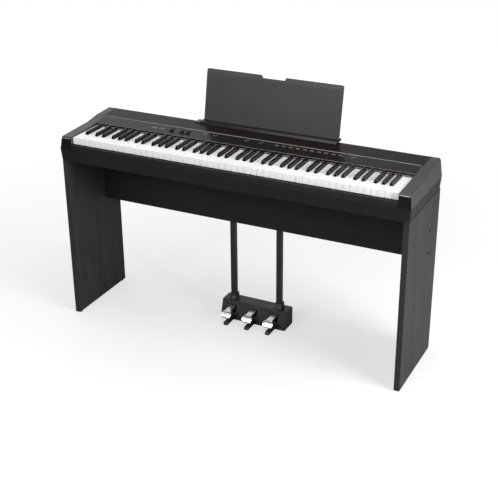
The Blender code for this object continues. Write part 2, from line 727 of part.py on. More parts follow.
def make_felt(frame, red):
    low = PANEL_LIP_Z - GAP - FELT_HEIGHT
    half = HALF_KEYS
    place("felt_strip", block(-half, half, FELT_FRONT, FELT_BACK, low, low + FELT_HEIGHT), red, frame)


def make_key_frame(frame, steel):
    """A steel plate under the keys, folded up into the rail that the keys turn on."""
    low = TRAY_FLOOR_Z + GAP
    top = low + KEY_FRAME_PLATE
    ridge = KEY_AXIS_Z
    profile = [
        (KEY_FRAME_FRONT, low),
        (KEY_FRAME_FRONT, top),
        (KEY_AXIS_Y - RAIL_DEPTH / 2, top),
        (KEY_AXIS_Y - RAIL_DEPTH / 2, ridge - RAIL_DEPTH / 4),
        (KEY_AXIS_Y, ridge),
        (KEY_AXIS_Y + RAIL_DEPTH / 2, ridge - RAIL_DEPTH / 4),
        (KEY_AXIS_Y + RAIL_DEPTH / 2, top),
        (KEY_FRAME_BACK, top),
        (KEY_FRAME_BACK, low),
    ]
    place("key_frame", rail(profile, -HALF_KEYS, HALF_KEYS), steel, frame)


def make_speakers(frame, black):
    floor = TRAY_FLOOR_Z + GAP
    r = SPEAKER_RADIUS
    h = SPEAKER_HEIGHT
    profile = [
        (0, 0),
        (r, 0),
        (r, h * 0.1),
        (r * 0.6, h * 0.6),
        (r * 0.7, h * 0.6),
        (r * 0.7, h),
        (0, h),
    ]
    for name, x in (("speaker_left", -SPEAKER_X), ("speaker_right", SPEAKER_X)):
        place(name, moved(turned(profile), (x, BAY_MIDDLE, floor)), black, frame, round_edges=True)


def make_main_board(frame, green):
    length, depth, height = BOARD_SIZE
    board = block(
        -length / 2, length / 2, BAY_MIDDLE - depth / 2, BAY_MIDDLE + depth / 2, BOARD_Z, BOARD_Z + height
    )
    place("main_board", board, green, frame)


# Music rest


def rest_outline():
    """Front view of the rest about its foot's middle: round top corners and a notch in the top edge."""
    half, height, radius = REST_WIDTH / 2, REST_HEIGHT, REST_CORNER
    corner = [math.radians(a) for a in (0, 22.5, 45, 67.5, 90)]
    right = [
        (half - radius + radius * math.cos(a), height - radius + radius * math.sin(a)) for a in corner
    ]
    notch = [(REST_NOTCH / 2, height), (REST_NOTCH / 2 - REST_NOTCH_DEPTH / 2, height - REST_NOTCH_DEPTH)]
    upper = right + notch
    return [(half, 0)] + upper + [(-x, z) for x, z in reversed(upper)] + [(-half, 0)]


def make_rest(frame, grey):
    foot_z = LEDGE_TOP_Z - LEDGE_GROOVE_DEPTH + GAP + REST_THICKNESS * math.sin(REST_LEAN)
    outline = [(x, 0, z) for x, z in rest_outline()]
    made = place("music_rest", solid(outline, (0, REST_THICKNESS, 0)), grey, frame)
    made.location = (REST_CENTRE_X, REST_FOOT, foot_z)
    made.rotation_euler = (-REST_LEAN, 0, 0)


def make_ledge(frame, black):
    left = REST_CENTRE_X - REST_WIDTH / 2 - LEDGE_LEFT
    right = REST_CENTRE_X + REST_WIDTH / 2 + LEDGE_RIGHT
    profile = [
        (LEDGE_FRONT, deck_height(LEDGE_FRONT) + GAP),
        (LEDGE_FRONT + LEDGE_EDGE, LEDGE_TOP_Z),
        (LEDGE_BACK - LEDGE_EDGE / 3, LEDGE_TOP_Z),
        (LEDGE_BACK, DECK_REAR_Z + LEDGE_EDGE / 3),
        (DECK_REAR, DECK_REAR_Z + GAP),
    ]
    made = place("rest_ledge", rail(profile, left, right), black, frame)
    middle = REST_FOOT + LEDGE_GROOVE_DEPTH * math.sin(REST_LEAN)
    groove = block(
        REST_CENTRE_X - REST_WIDTH / 2 - GAP,
        REST_CENTRE_X + REST_WIDTH / 2 + GAP,
        middle - LEDGE_GROOVE / 2 + REST_THICKNESS / 2,
        middle + LEDGE_GROOVE / 2 + REST_THICKNESS / 2,
        LEDGE_TOP_Z - LEDGE_GROOVE_DEPTH,
        LEDGE_TOP_Z + THROUGH,
    )
    boolean(made, groove, "DIFFERENCE", frame)


# Stand


def glide_shape():
    profile = [
        (0, 0),
        (GLIDE_RADIUS * 0.85, 0),
        (GLIDE_RADIUS, GLIDE_HEIGHT * 0.4),
        (GLIDE_RADIUS, GLIDE_HEIGHT),
        (0, GLIDE_HEIGHT),
    ]
    return turned(profile, 16)


def bolt_y():
    return PANEL_Y + BACK_PANEL_THICKNESS / 2


def make_stand(frame, wood, steel, plastic):
    inner = BOARD_OUTER_X - BOARD_THICKNESS
    top = CASE_BOTTOM_Z - GAP
    for name, side in (("left", -1), ("right", 1)):
        x0, x1 = mirrored_x(inner, BOARD_OUTER_X, side)
        board = place(
            f"side_board_{name}",
            block(x0, x1, BOARD_FRONT, BOARD_BACK, GLIDE_HEIGHT + GAP, top),
            wood,
            frame,
        )
        holes = bolt_rods(side, BOLT_RADIUS + BORE_GAP, BOARD_THICKNESS * 2)
        boolean(board, together(holes), "DIFFERENCE", frame)
        middle = (x0 + x1) / 2
        for end, y in (("front", BOARD_FRONT + GLIDE_INSET), ("rear", BOARD_BACK - GLIDE_INSET)):
            glide = moved(glide_shape(), (middle, y, 0))
            place(f"glide_{name}_{end}", glide, plastic, frame, round_edges=True)
        for level, z in zip(("lower", "upper"), BOLT_HEIGHTS):
            make_bolt(f"bolt_{name}_{level}", side, z, frame, steel)
    panel = place(
        "back_panel",
        block(-inner + GAP, inner - GAP, PANEL_Y, PANEL_Y + BACK_PANEL_THICKNESS, BACK_PANEL_BOTTOM_Z, top),
        wood,
        frame,
    )
    reach = BOLT_LENGTH + 4 * BORE_GAP
    holes = bolt_rods(-1, BOLT_RADIUS + BORE_GAP, reach) + bolt_rods(1, BOLT_RADIUS + BORE_GAP, reach)
    boolean(panel, together(holes), "DIFFERENCE", frame)


def bolt_rods(side, radius, reach):
    """Straight bars along X from just outside a side board inwards, one at each bolt."""
    start, end = side * (BOARD_OUTER_X + THROUGH), side * (BOARD_OUTER_X - reach)
    return [rod(radius, (start, bolt_y(), z), (end, bolt_y(), z), 12) for z in BOLT_HEIGHTS]


def make_bolt(name, side, z, frame, steel):
    profile = [
        (0, 0),
        (BOLT_RADIUS, 0),
        (BOLT_RADIUS, BOLT_LENGTH),
        (BOLT_HEAD_RADIUS, BOLT_LENGTH),
        (BOLT_HEAD_RADIUS, BOLT_LENGTH + BOLT_HEAD_HEIGHT / 2),
        (BOLT_HEAD_RADIUS * 0.8, BOLT_LENGTH + BOLT_HEAD_HEIGHT),
        (0, BOLT_LENGTH + BOLT_HEAD_HEIGHT),
    ]
    shape = turned(profile, 12)
    turn = Matrix.Rotation(side * math.pi / 2, 3, "Y")
    bmesh.ops.rotate(shape, cent=(0, 0, 0), matrix=turn, verts=shape.verts)
    seat = side * (BOARD_OUTER_X + GAP - BOLT_LENGTH)
    place(name, moved(shape, (seat, bolt_y(), z)), steel, frame, round_edges=True)


# Pedal unit


def make_pedal_base(frame, black):
    low, high = 0.0, BASE_THICKNESS
    half = BOX_HALF_WIDTH - BOX_WALL - GAP
    front = box_front(high) + 1.2 * BOX_WALL
    plate = block(-half, half, front, BOX_BACK - BOX_WALL - GAP, low, high)
    base = place("pedal_base", plate, black, frame)
    toes = []
    for x in pedal_centres():
        profile = [
            (TOE_FRONT, low),
            (TOE_FRONT, TOE_HEIGHT * 0.6),
            (TOE_FRONT + TOE_HEIGHT * 0.4, TOE_HEIGHT),
            (BOX_FRONT + BOX_WALL * 3, TOE_HEIGHT),
            (BOX_FRONT + BOX_WALL * 3, low),
        ]
        toes.append(rail(profile, x - TOE_WIDTH / 2, x + TOE_WIDTH / 2))
    boolean(base, together(toes), "UNION", frame)


def pedal_centres():
    return [-PEDAL_SPACING, 0.0, PEDAL_SPACING]


def box_front(z):
    """Depth of the pedal box's leaning front at a height z."""
    return BOX_FRONT + (BOX_TOP_FRONT - BOX_FRONT) * z / BOX_TOP_Z


def box_profile(bottom):
    """Side view of the pedal box, clockwise from its lower front corner."""
    return [
        (box_front(bottom), bottom),
        (BOX_TOP_FRONT, BOX_TOP_Z),
        (BOX_BACK, BOX_TOP_Z),
        (BOX_BACK, bottom),
    ]


def make_pedal_box(frame, black):
    """The cover: walls and top, open below and cut in front for the pedals and the toes."""
    box = place("pedal_box", rail(box_profile(GAP), -BOX_HALF_WIDTH, BOX_HALF_WIDTH), black, frame)
    core = inset(box_profile(-2 * BOX_WALL), BOX_WALL)
    half = BOX_HALF_WIDTH - BOX_WALL
    boolean(box, rail(core, -half, half), "DIFFERENCE", frame)
    cuts = []
    for x in pedal_centres():
        half = PEDAL_ARM_WIDTH / 2 + PEDAL_SLOT_GAP
        slot_low = PEDAL_NECK[1] - PEDAL_THICKNESS - PEDAL_DROP
        slot_high = PEDAL_NECK[1] + PEDAL_SLOT_GAP
        front, rear = BOX_FRONT - THROUGH, box_front(slot_high) + 2 * BOX_WALL
        cuts.append(block(x - half, x + half, front, rear, slot_low, slot_high))
        half, rear = TOE_WIDTH / 2 + GAP, box_front(TOE_HEIGHT) + 2 * BOX_WALL
        cuts.append(block(x - half, x + half, front, rear, -THROUGH, TOE_HEIGHT + GAP))
    boolean(box, together(cuts), "DIFFERENCE", frame)
    add_post_sockets(box, frame)


def make_pedal_axle(frame, steel):
    half = BOX_HALF_WIDTH - BOX_WALL - GAP
    axle = rod(AXLE_RADIUS, (-half, *PEDAL_AXIS), (half, *PEDAL_AXIS), 12)
    place("pedal_axle", axle, steel, frame, round_edges=True)


def pedal_shape(x):
    """The lever in plan: a plain arm that flares into the toe plate, bent down at its lip."""
    axis_y, axis_z = PEDAL_AXIS
    stations = [
        (axis_y, axis_z + PEDAL_THICKNESS * 1.6, PEDAL_ARM_WIDTH),
        (BOX_FRONT - PEDAL_NECK[0], PEDAL_NECK[1], PEDAL_ARM_WIDTH),
        (BOX_FRONT - PEDAL_BALL[0], PEDAL_BALL[1], PEDAL_HEEL_WIDTH),
        (BOX_FRONT - PEDAL_LIP[0], PEDAL_LIP[1], PEDAL_TOE_WIDTH),
    ]
    shape = bmesh.new()
    rings = []
    for y, top, width in stations:
        half = width / 2
        corners = [(-half, top), (half, top), (half, top - PEDAL_THICKNESS), (-half, top - PEDAL_THICKNESS)]
        rings.append([shape.verts.new((x + cx, y, z)) for cx, z in corners])
    for first, second in zip(rings, rings[1:]):
        for i in range(4):
            j = (i + 1) % 4
            shape.faces.new((first[i], first[j], second[j], second[i]))
    shape.faces.new(rings[0])
    shape.faces.new(rings[-1])
    bmesh.ops.recalc_face_normals(shape, faces=shape.faces)
    return shape


def make_pedals(frame, chrome):
    axis_y, axis_z = PEDAL_AXIS
    for name, x in zip(("pedal_left", "pedal_middle", "pedal_right"), pedal_centres()):
        made = place(name, pedal_shape(x), chrome, frame, (x, axis_y, axis_z))
        half = PEDAL_ARM_WIDTH / 2
        hub = rod(HUB_RADIUS, (x - half, axis_y, axis_z), (x + half, axis_y, axis_z), 16)
        boolean(made, hub, "UNION", frame)
        bore = AXLE_RADIUS + BORE_GAP
        reach = half + THROUGH
        hole = rod(bore, (x - reach, axis_y, axis_z), (x + reach, axis_y, axis_z), 12)
        boolean(made, hole, "DIFFERENCE", frame)


def post_depths():
    """Front and rear of the square posts, which stand against the back panel."""
    front = PANEL_Y + BACK_PANEL_THICKNESS + GAP
    return front, front + POST_SIZE


def make_posts(frame, steel):
    """Square posts behind the back panel, each in a socket on the pedal box."""
    half = POST_SIZE / 2
    low = BOX_TOP_Z + GAP
    for name, x in (("left", -POST_X), ("right", POST_X)):
        shape = block(x - half, x + half, *post_depths(), low, POST_TOP_Z)
        place(f"post_{name}", shape, steel, frame)


def add_post_sockets(box, frame):
    """The collars round the posts' feet, moulded in one with the pedal box."""
    y0, y1 = post_depths()
    outer, inner = POST_SIZE / 2 + COLLAR_WALL, POST_SIZE / 2 + GAP
    top = BOX_TOP_Z + COLLAR_HEIGHT
    collars = [
        block(x - outer, x + outer, y0 - COLLAR_WALL, y1 + COLLAR_WALL, BOX_TOP_Z - GAP, top)
        for x in (-POST_X, POST_X)
    ]
    holes = [
        block(x - inner, x + inner, y0 - GAP, y1 + GAP, BOX_TOP_Z, top + THROUGH)
        for x in (-POST_X, POST_X)
    ]
    boolean(box, together(collars), "UNION", frame)
    boolean(box, together(holes), "DIFFERENCE", frame)


def main():
    clear_scene()
    frame = bpy.data.objects.new("keyboard_front", None)
    frame.location = (0, -CENTRE_Y, 0)
    bpy.context.scene.collection.objects.link(frame)

    case_black = finish("case_black", (0.026, 0.024, 0.025), 0.45)
    block_grey = finish("end_block_black", (0.040, 0.038, 0.038), 0.35)
    deck_black = finish("deck_black", (0.035, 0.030, 0.028), 0.40)
    gloss_black = finish("gloss_black", (0.012, 0.012, 0.012), 0.12)
    key_white = finish("key_white", (0.80, 0.80, 0.78), 0.25)
    key_black = finish("key_black", (0.020, 0.020, 0.020), 0.30)
    felt_red = finish("felt_red", (0.20, 0.01, 0.02), 0.95)
    rest_grey = finish("rest_grey", (0.055, 0.055, 0.056), 0.55)
    button_brown = finish("button_brown", (0.10, 0.05, 0.05), 0.40)
    wood_black = finish("board_black", (0.045, 0.042, 0.040), 0.55)
    frame_steel = finish("frame_steel", (0.45, 0.45, 0.45), 0.35, 1.0)
    post_grey = finish("post_grey", (0.050, 0.050, 0.052), 0.40)
    chrome = finish("chrome", (0.80, 0.80, 0.80), 0.06, 1.0)
    circuit_green = finish("circuit_green", (0.02, 0.16, 0.06), 0.50)

    make_single_keys(frame, key_white, key_black)
    make_key_units(frame, key_white)
    make_key_frame(frame, frame_steel)
    make_felt(frame, felt_red)
    make_lower_case(frame, case_black)
    make_bottom_plate(frame, case_black)
    make_rear_panel(frame, case_black)
    make_end_block("end_block_left", -1, frame, block_grey)
    make_end_block("end_block_right", 1, frame, block_grey)
    make_key_slip(frame, case_black)
    make_top_cover(frame, deck_black)
    make_control_panel(frame, gloss_black)
    make_buttons(frame, case_black, button_brown)
    make_sliders(frame, case_black)
    make_rest(frame, rest_grey)
    make_ledge(frame, case_black)
    make_speakers(frame, case_black)
    make_main_board(frame, circuit_green)
    make_stand(frame, wood_black, frame_steel, case_black)
    make_pedal_base(frame, case_black)
    make_pedal_box(frame, case_black)
    make_pedal_axle(frame, frame_steel)
    make_pedals(frame, chrome)
    make_posts(frame, post_grey)


main()
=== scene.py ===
"""The looks of a slab digital piano on its panel stand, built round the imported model.

Laid out as a Blender add-on: sizes and colours are properties, each group of pieces is an operator,
and main() calls them in order. Metres, +Z up, +X to the treble side, the player sits at -Y.
"""

import json
import math

import bmesh
import bpy
from bpy.props import FloatProperty, FloatVectorProperty, PointerProperty
from mathutils import Matrix, Vector

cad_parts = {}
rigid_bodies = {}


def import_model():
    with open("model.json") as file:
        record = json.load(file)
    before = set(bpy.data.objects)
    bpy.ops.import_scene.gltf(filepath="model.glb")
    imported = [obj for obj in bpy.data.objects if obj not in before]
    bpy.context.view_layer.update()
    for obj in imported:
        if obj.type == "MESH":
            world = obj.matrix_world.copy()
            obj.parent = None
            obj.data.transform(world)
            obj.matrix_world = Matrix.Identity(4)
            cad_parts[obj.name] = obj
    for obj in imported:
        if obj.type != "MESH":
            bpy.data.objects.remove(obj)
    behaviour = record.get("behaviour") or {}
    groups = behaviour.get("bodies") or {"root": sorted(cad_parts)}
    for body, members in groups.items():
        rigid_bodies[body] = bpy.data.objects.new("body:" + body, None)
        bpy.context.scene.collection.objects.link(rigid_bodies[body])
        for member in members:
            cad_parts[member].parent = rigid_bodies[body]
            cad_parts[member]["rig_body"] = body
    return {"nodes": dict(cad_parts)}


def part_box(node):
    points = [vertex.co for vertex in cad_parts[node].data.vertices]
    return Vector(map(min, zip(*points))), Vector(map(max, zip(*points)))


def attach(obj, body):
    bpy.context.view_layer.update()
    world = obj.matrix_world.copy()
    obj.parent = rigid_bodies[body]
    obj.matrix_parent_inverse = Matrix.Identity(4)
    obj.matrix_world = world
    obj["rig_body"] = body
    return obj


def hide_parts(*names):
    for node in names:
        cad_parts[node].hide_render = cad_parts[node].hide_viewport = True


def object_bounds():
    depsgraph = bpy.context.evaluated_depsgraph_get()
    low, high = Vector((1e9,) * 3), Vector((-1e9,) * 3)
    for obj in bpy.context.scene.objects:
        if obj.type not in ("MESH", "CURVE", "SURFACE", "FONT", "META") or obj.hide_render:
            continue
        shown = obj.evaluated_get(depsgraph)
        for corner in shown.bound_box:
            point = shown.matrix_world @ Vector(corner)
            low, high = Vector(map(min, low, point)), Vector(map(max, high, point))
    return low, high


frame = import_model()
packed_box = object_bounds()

bl_info = {
    "name": "Slab Digital Piano",
    "version": (1, 0, 0),
    "blender": (4, 5, 0),
    "location": "View3D > Sidebar > Piano",
    "description": "Builds the finished pieces of a slab digital piano round its packed model",
    "category": "Object",
}

NOTE_NAMES = ("c", "c_sharp", "d", "d_sharp", "e", "f", "f_sharp", "g", "g_sharp", "a", "a_sharp", "b")
BLACK_NOTES = (1, 3, 6, 8, 10)
KEY_UNITS = {"low": (0, 1), "2": (2,), "3": (3,), "5": (5,), "6": (6,), "high": (7, 8)}
SLIDERS = ("volume_slider", "balance_slider", "tone_slider")
COMBS = ("button_comb_left", "button_comb_right")
PEDALS = ("pedal_left", "pedal_middle", "pedal_right")

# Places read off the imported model
KEY_LOW, KEY_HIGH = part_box("key_c4")
BLACK_LOW, BLACK_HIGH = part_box("key_c_sharp4")
STRIP_LOW, STRIP_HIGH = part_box("control_panel")
KEY_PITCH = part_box("key_d4")[0].x - KEY_LOW.x
KEY_TOP = KEY_HIGH.z
BLACK_WIDTH = BLACK_HIGH.x - BLACK_LOW.x
STRIP_FRONT_Z = KEY_TOP + 0.0100
STRIP_LEAN = math.atan2(STRIP_HIGH.z - STRIP_FRONT_Z, STRIP_HIGH.y - STRIP_LOW.y)

# Fixed sizes that several pieces share
KEY_GAP = 0.0010
REST_LEAN = math.radians(10.3)
PRINT_LIFT = 0.00002
PRINT_THICKNESS = 0.0002
CAP_DEPTH = 0.0055
MARK_PLACES = (-0.180, -0.141, -0.016, 0.039, 0.380)
CASE_SCREW_PLACES = (-0.58, -0.35, -0.12, 0.12, 0.35, 0.58)
SOCKET_RADII = (0.0035, 0.0045, 0.0045, 0.0060, 0.0060)
NEARLY = 1e-5

# Soft lights: where each hangs, its two sides, its watts and the point that it faces
SOFTBOXES = {
    "side_softbox": ((3.2, -0.8, 1.5), (1.6, 1.3), 160, (0, 0, 0.55)),
    "low_softbox": ((2.4, 0.1, 0.35), (1.4, 0.5), 16, (0.66, 0, 0.15)),
    "top_softbox": ((0.0, -0.2, 3.2), (4.4, 2.6), 56, (0, 0, 0.55)),
    "front_softbox": ((-0.6, -3.6, 2.7), (2.4, 1.2), 94, (0, -0.15, 0.7)),
}


# Properties


def length(name, description, metres):
    return FloatProperty(name=name, description=description, default=metres, unit="LENGTH", precision=5)


def colour(name, description, *rgb):
    return FloatVectorProperty(
        name=name, description=description, default=rgb, subtype="COLOR", size=3, min=0, max=1
    )


class PianoSizes(bpy.types.PropertyGroup):
    """Sizes of the fine shape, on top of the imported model's own."""

    key_edge: length("Key edge", "Radius of a white key's top edges", 0.0008)
    key_lip: length("Key lip", "Overhang of a white key's top over its front", 0.0010)
    key_lip_height: length("Key lip height", "Thickness of the overhanging top", 0.0030)
    black_edge: length("Black key edge", "Radius of a black key's top edges", 0.0011)
    black_taper: FloatProperty(
        name="Black key taper",
        description="Width of a black key's top as a share of its foot",
        default=0.80,
        subtype="FACTOR",
        min=0.5,
        max=1.0,
    )
    case_edge: length("Case edge", "Radius of the case's edges", 0.0008)
    deck_painted_highlight: length("Deck trim", "Width of the bead along the deck's front", 0.0036)
    strip_painted_highlight: length("Strip trim", "Width of the bead along the strip's front", 0.0016)
    block_edge: length("End block edge", "Radius of an end block's top edges", 0.0022)
    block_reveal: length("End block reveal", "Step in an end block's front", 0.0014)
    block_reveal_drop: length("Reveal drop", "Height of the end block's front step", 0.0062)
    board_edge: length("Board edge", "Radius of the stand boards' edges", 0.0010)
    post_edge: length("Post edge", "Radius of the posts' corners", 0.0018)
    rest_edge: length("Rest edge", "Radius of the rest's edges", 0.0011)
    rest_band: length("Rest band", "Height of the rest's bent top", 0.0200)
    rest_bend: FloatProperty(
        name="Rest bend",
        description="Backward bend of the rest's top",
        default=math.radians(4),
        subtype="ANGLE",
        unit="ROTATION",
    )
    slot_width: length("Slider slot width", "Width of the frame round a slider's slot", 0.0138)
    slot_length: length("Slider slot length", "Length of the frame round a slider's slot", 0.0320)
    slot_opening: length("Slot opening", "Width of a slider's slot", 0.0036)
    slot_end: length("Slot end", "Bar of the frame beyond a slot's end", 0.0029)
    bolt_head: length("Bolt head", "Height of the heads of the boards' bolts", 0.0018)
    pedal_edge: length("Pedal edge", "Radius of the pedals' edges", 0.0018)
    toe_corner: length("Toe corner", "Radius of the pedals' front corners", 0.0080)


class PianoColours(bpy.types.PropertyGroup):
    """Colours of the finishes."""

    case: colour("Case", "Moulded case", 0.0068, 0.0061, 0.0063)
    block: colour("End blocks", "Moulded end blocks", 0.0310, 0.0284, 0.0276)
    # Darker copy of the end block colour for the blocks' front faces: painted shade, since those faces look
    # away from the lamps. The rest's ledge takes the same colour as its own near-black.
    painted_shade_nose_and_ledge: colour("End block noses", "Darker fronts of the end blocks", 0.0060, 0.0056, 0.0056)
    deck: colour("Deck", "Rear deck", 0.0075, 0.0056, 0.0047)
    strip: colour("Control strip", "Gloss control strip", 0.0050, 0.0044, 0.0042)
    white: colour("White keys", "White key tops", 0.79, 0.785, 0.775)
    black: colour("Black keys", "Black key caps", 0.0022, 0.0021, 0.0021)
    felt: colour("Felt", "Felt strip behind the keys", 0.040, 0.004, 0.006)
    rest: colour("Music rest", "Moulded rest", 0.0290, 0.0290, 0.0294)
    board: colour("Boards", "Foil on the stand's boards", 0.0212, 0.0202, 0.0207)
    # Same foil as the boards in a darker colour: painted shade, as the board across the back sits in the
    # shade under the keyboard.
    panel: colour("Cross panel", "Foil on the stand's back panel", 0.0080, 0.0076, 0.0078)
    post: colour("Posts", "Painted steel posts", 0.0175, 0.0175, 0.0178)
    box: colour("Pedal box", "Moulded pedal box", 0.0200, 0.0200, 0.0195)
    glide: colour("Glides", "Moulded feet", 0.012, 0.012, 0.012)
    chrome: colour("Pedals", "Plated pedals", 0.94, 0.94, 0.95)
    steel: colour("Steel", "Plated steel inside and on the bolts", 0.45, 0.45, 0.46)
    bolt: colour("Bolts", "Blackened bolts in the boards", 0.030, 0.022, 0.020)
    button: colour("Buttons", "Small buttons and slider caps", 0.020, 0.020, 0.020)
    row: colour("Button row", "Row of ten buttons", 0.110, 0.070, 0.060)
    # Light colour of the beads along the deck's and the strip's front edges: painted highlight where those
    # edges catch the light. The rims round the two buttons take it too.
    painted_highlight_and_rims: colour("Trim", "Satin beads and rims on the strip", 0.170, 0.165, 0.162)
    # Light colour of the beads in the end blocks' fronts: painted highlight, the bright line under each
    # block's rounded top.
    painted_highlight_bead: colour("Block beads", "Bright beads in the end blocks' fronts", 0.42, 0.41, 0.40)
    recess: colour("Recesses", "Frames round the sliders' slots", 0.0025, 0.0025, 0.0025)
    mark: colour("Marks", "Plain printed marks", 0.36, 0.36, 0.35)
    board_green: colour("Circuit board", "Solder mask", 0.015, 0.130, 0.050)


class PianoStage(bpy.types.PropertyGroup):
    """Camera, floor and lights."""

    eye: FloatVectorProperty(
        name="Camera",
        description="Where the camera stands",
        default=(1.5491, -3.0982, 1.9713),
        subtype="TRANSLATION",
        unit="LENGTH",
    )
    turn: FloatVectorProperty(
        name="Camera turn",
        description="Yaw to the left, pitch down and roll of the camera",
        default=(math.radians(26.396), math.radians(25.424), math.radians(-0.4165)),
        subtype="EULER",
        unit="ROTATION",
    )
    lens: FloatProperty(name="Lens", description="Focal length in millimetres", default=76.28)
    floor: colour("Floor", "Pale floor", 0.30, 0.30, 0.30)
    # Lower glow under the object than far off: painted shadow on the floor round the object.
    near_glow_painted_shadow: FloatProperty(name="Near glow", description="Brightness under the object", default=0.56)
    backdrop: FloatProperty(name="Backdrop", description="Brightness behind the object", default=0.9)
    wall_yaw: FloatProperty(
        name="Bright wall",
        description="Direction of the bright wall, to the left of straight ahead",
        default=math.radians(65),
        subtype="ANGLE",
        unit="ROTATION",
    )


# Finishes: each is a Principled shader with its own colour variation, grain and roughness


def connect(tree, socket, value):
    """Links a socket to another, or sets its value."""
    if isinstance(value, bpy.types.NodeSocket):
        tree.links.new(value, socket)
    else:
        socket.default_value = value


def add(tree, kind, settings=None, **inputs):
    """A shader node with its settings and inputs. A space in an input's name is written _ ."""
    made = tree.nodes.new("ShaderNode" + kind)
    for key, value in (settings or {}).items():
        setattr(made, key, value)
    for key, value in inputs.items():
        connect(tree, made.inputs[key.replace("_", " ")], value)
    return made


def rgba(rgb, factor=1.0):
    return (*(min(1.0, channel * factor) for channel in rgb), 1.0)


def object_place(tree, stretch=(1, 1, 1), turn=(0, 0, 0)):
    """Object coordinates, stretched so that a grain can run one way."""
    coordinates = add(tree, "TexCoord").outputs["Object"]
    return add(tree, "Mapping", Vector=coordinates, Scale=stretch, Rotation=turn).outputs["Vector"]


def noise(tree, place, scale, detail=3.0, distortion=0.0):
    made = add(tree, "TexNoise", Vector=place, Scale=scale, Detail=detail, Distortion=distortion)
    return made.outputs["Fac"]


def blend(tree, factor, low, high, start=0.35, end=0.65):
    """A colour between two, by a factor."""
    made = add(tree, "ValToRGB", Fac=factor)
    made.color_ramp.elements[0].position = start
    made.color_ramp.elements[0].color = low
    made.color_ramp.elements[1].position = end
    made.color_ramp.elements[1].color = high
    return made.outputs["Color"]


def between(tree, factor, low, high):
    """A number between two, by a factor from 0.3 to 0.7."""
    made = add(tree, "MapRange", Value=factor, From_Min=0.3, From_Max=0.7, To_Min=low, To_Max=high)
    return made.outputs["Result"]


def raised(tree, height, depth, before=None):
    """Bump of a real depth in metres, on top of another."""
    inputs = {"Height": height, "Distance": depth, "Strength": 1.0}
    if before:
        inputs["Normal"] = before
    return add(tree, "Bump", **inputs).outputs["Normal"]


def finish_of(name, base, roughness, normal=None, **constants):
    """A finish from a colour, a roughness and a bump, made by a recipe that gets the node tree."""
    made = bpy.data.materials.new(name)
    made.use_nodes = True
    tree = made.node_tree
    shader = tree.nodes["Principled BSDF"]
    connect(tree, shader.inputs["Base Color"], base(tree))
    connect(tree, shader.inputs["Roughness"], roughness(tree))
    if normal:
        connect(tree, shader.inputs["Normal"], normal(tree))
    for key, value in constants.items():
        shader.inputs[key.replace("_", " ")].default_value = value
    return made


def moulded(name, rgb, rough, spread=0.12, grain=0.00004, scale=1400.0, **constants):
    """Moulded plastic: a fine spark-eroded grain, faint cloudiness, and polish that wanders a little."""

    def base(tree):
        cloud = noise(tree, object_place(tree), 9.0, 4.0)
        return blend(tree, cloud, rgba(rgb, 1 - spread), rgba(rgb, 1 + spread))

    def roughness(tree):
        return between(tree, noise(tree, object_place(tree), 23.0, 5.0), rough * 0.85, rough * 1.15)

    def normal(tree):
        return raised(tree, noise(tree, object_place(tree), scale, 2.0), grain)

    return finish_of(name, base, roughness, normal, **constants)


def brushed(name, rgb, rough, stretch, spread=0.18, grain=0.00002, **constants):
    """A finish with fine lines that run one way."""

    def base(tree):
        streak = noise(tree, object_place(tree, stretch), 60.0, 5.0)
        return blend(tree, streak, rgba(rgb, 1 - spread), rgba(rgb, 1 + spread), 0.3, 0.7)

    def roughness(tree):
        return between(tree, noise(tree, object_place(tree, stretch), 140.0, 3.0), rough * 0.8, rough * 1.2)

    def normal(tree):
        return raised(tree, noise(tree, object_place(tree, stretch), 420.0, 2.0), grain)

    return finish_of(name, base, roughness, normal, **constants)


def wood_foil(name, rgb, along):
    """Printed foil with an embossed wood grain that runs along one axis."""
    fine = tuple(0.035 if axis == along else 1.0 for axis in "xyz")
    broad = tuple(0.10 if axis == along else 1.0 for axis in "xyz")

    def base(tree):
        figure = noise(tree, object_place(tree, broad), 34.0, 6.0, 0.6)
        pores = noise(tree, object_place(tree, fine), 520.0, 4.0)
        both = add(tree, "Mix", Factor=0.35, A=figure, B=pores).outputs["Result"]
        return blend(tree, both, rgba(rgb, 0.72), rgba(rgb, 1.25), 0.36, 0.64)

    def roughness(tree):
        return between(tree, noise(tree, object_place(tree, fine), 300.0, 3.0), 0.42, 0.58)

    def normal(tree):
        figure = noise(tree, object_place(tree, broad), 90.0, 5.0, 0.4)
        pores = noise(tree, object_place(tree, fine), 700.0, 3.0)
        return raised(tree, pores, 0.00008, raised(tree, figure, 0.00010))

    return finish_of(name, base, roughness, normal, Specular_IOR_Level=0.30)


def felt_cloth(name, rgb):
    """Pressed wool: tangled fibres, a soft sheen and a surface that hides its weave."""

    def base(tree):
        fibres = noise(tree, object_place(tree, (1, 1.6, 1)), 900.0, 6.0, 1.5)
        return blend(tree, fibres, rgba(rgb, 0.6), rgba(rgb, 1.4))

    def roughness(tree):
        return between(tree, noise(tree, object_place(tree), 200.0, 2.0), 0.86, 0.98)

    def normal(tree):
        return raised(tree, noise(tree, object_place(tree), 1600.0, 5.0, 2.0), 0.0003)

    return finish_of(name, base, roughness, normal, Sheen_Weight=0.5, Sheen_Roughness=0.4)


def plated(name, rgb, rough, spread=0.05):
    """Plated metal: a bright skin with hair scratches and faint waves."""

    def base(tree):
        cloud = noise(tree, object_place(tree), 30.0, 3.0)
        return blend(tree, cloud, rgba(rgb, 1 - spread), rgba(rgb, 1 + spread))

    def roughness(tree):
        hairs = noise(tree, object_place(tree, (1, 0.06, 1)), 900.0, 4.0)
        return between(tree, hairs, rough * 0.6, rough * 1.5)

    def normal(tree):
        return raised(tree, noise(tree, object_place(tree), 120.0, 2.0), 0.00001)

    return finish_of(name, base, roughness, normal, Metallic=1.0)


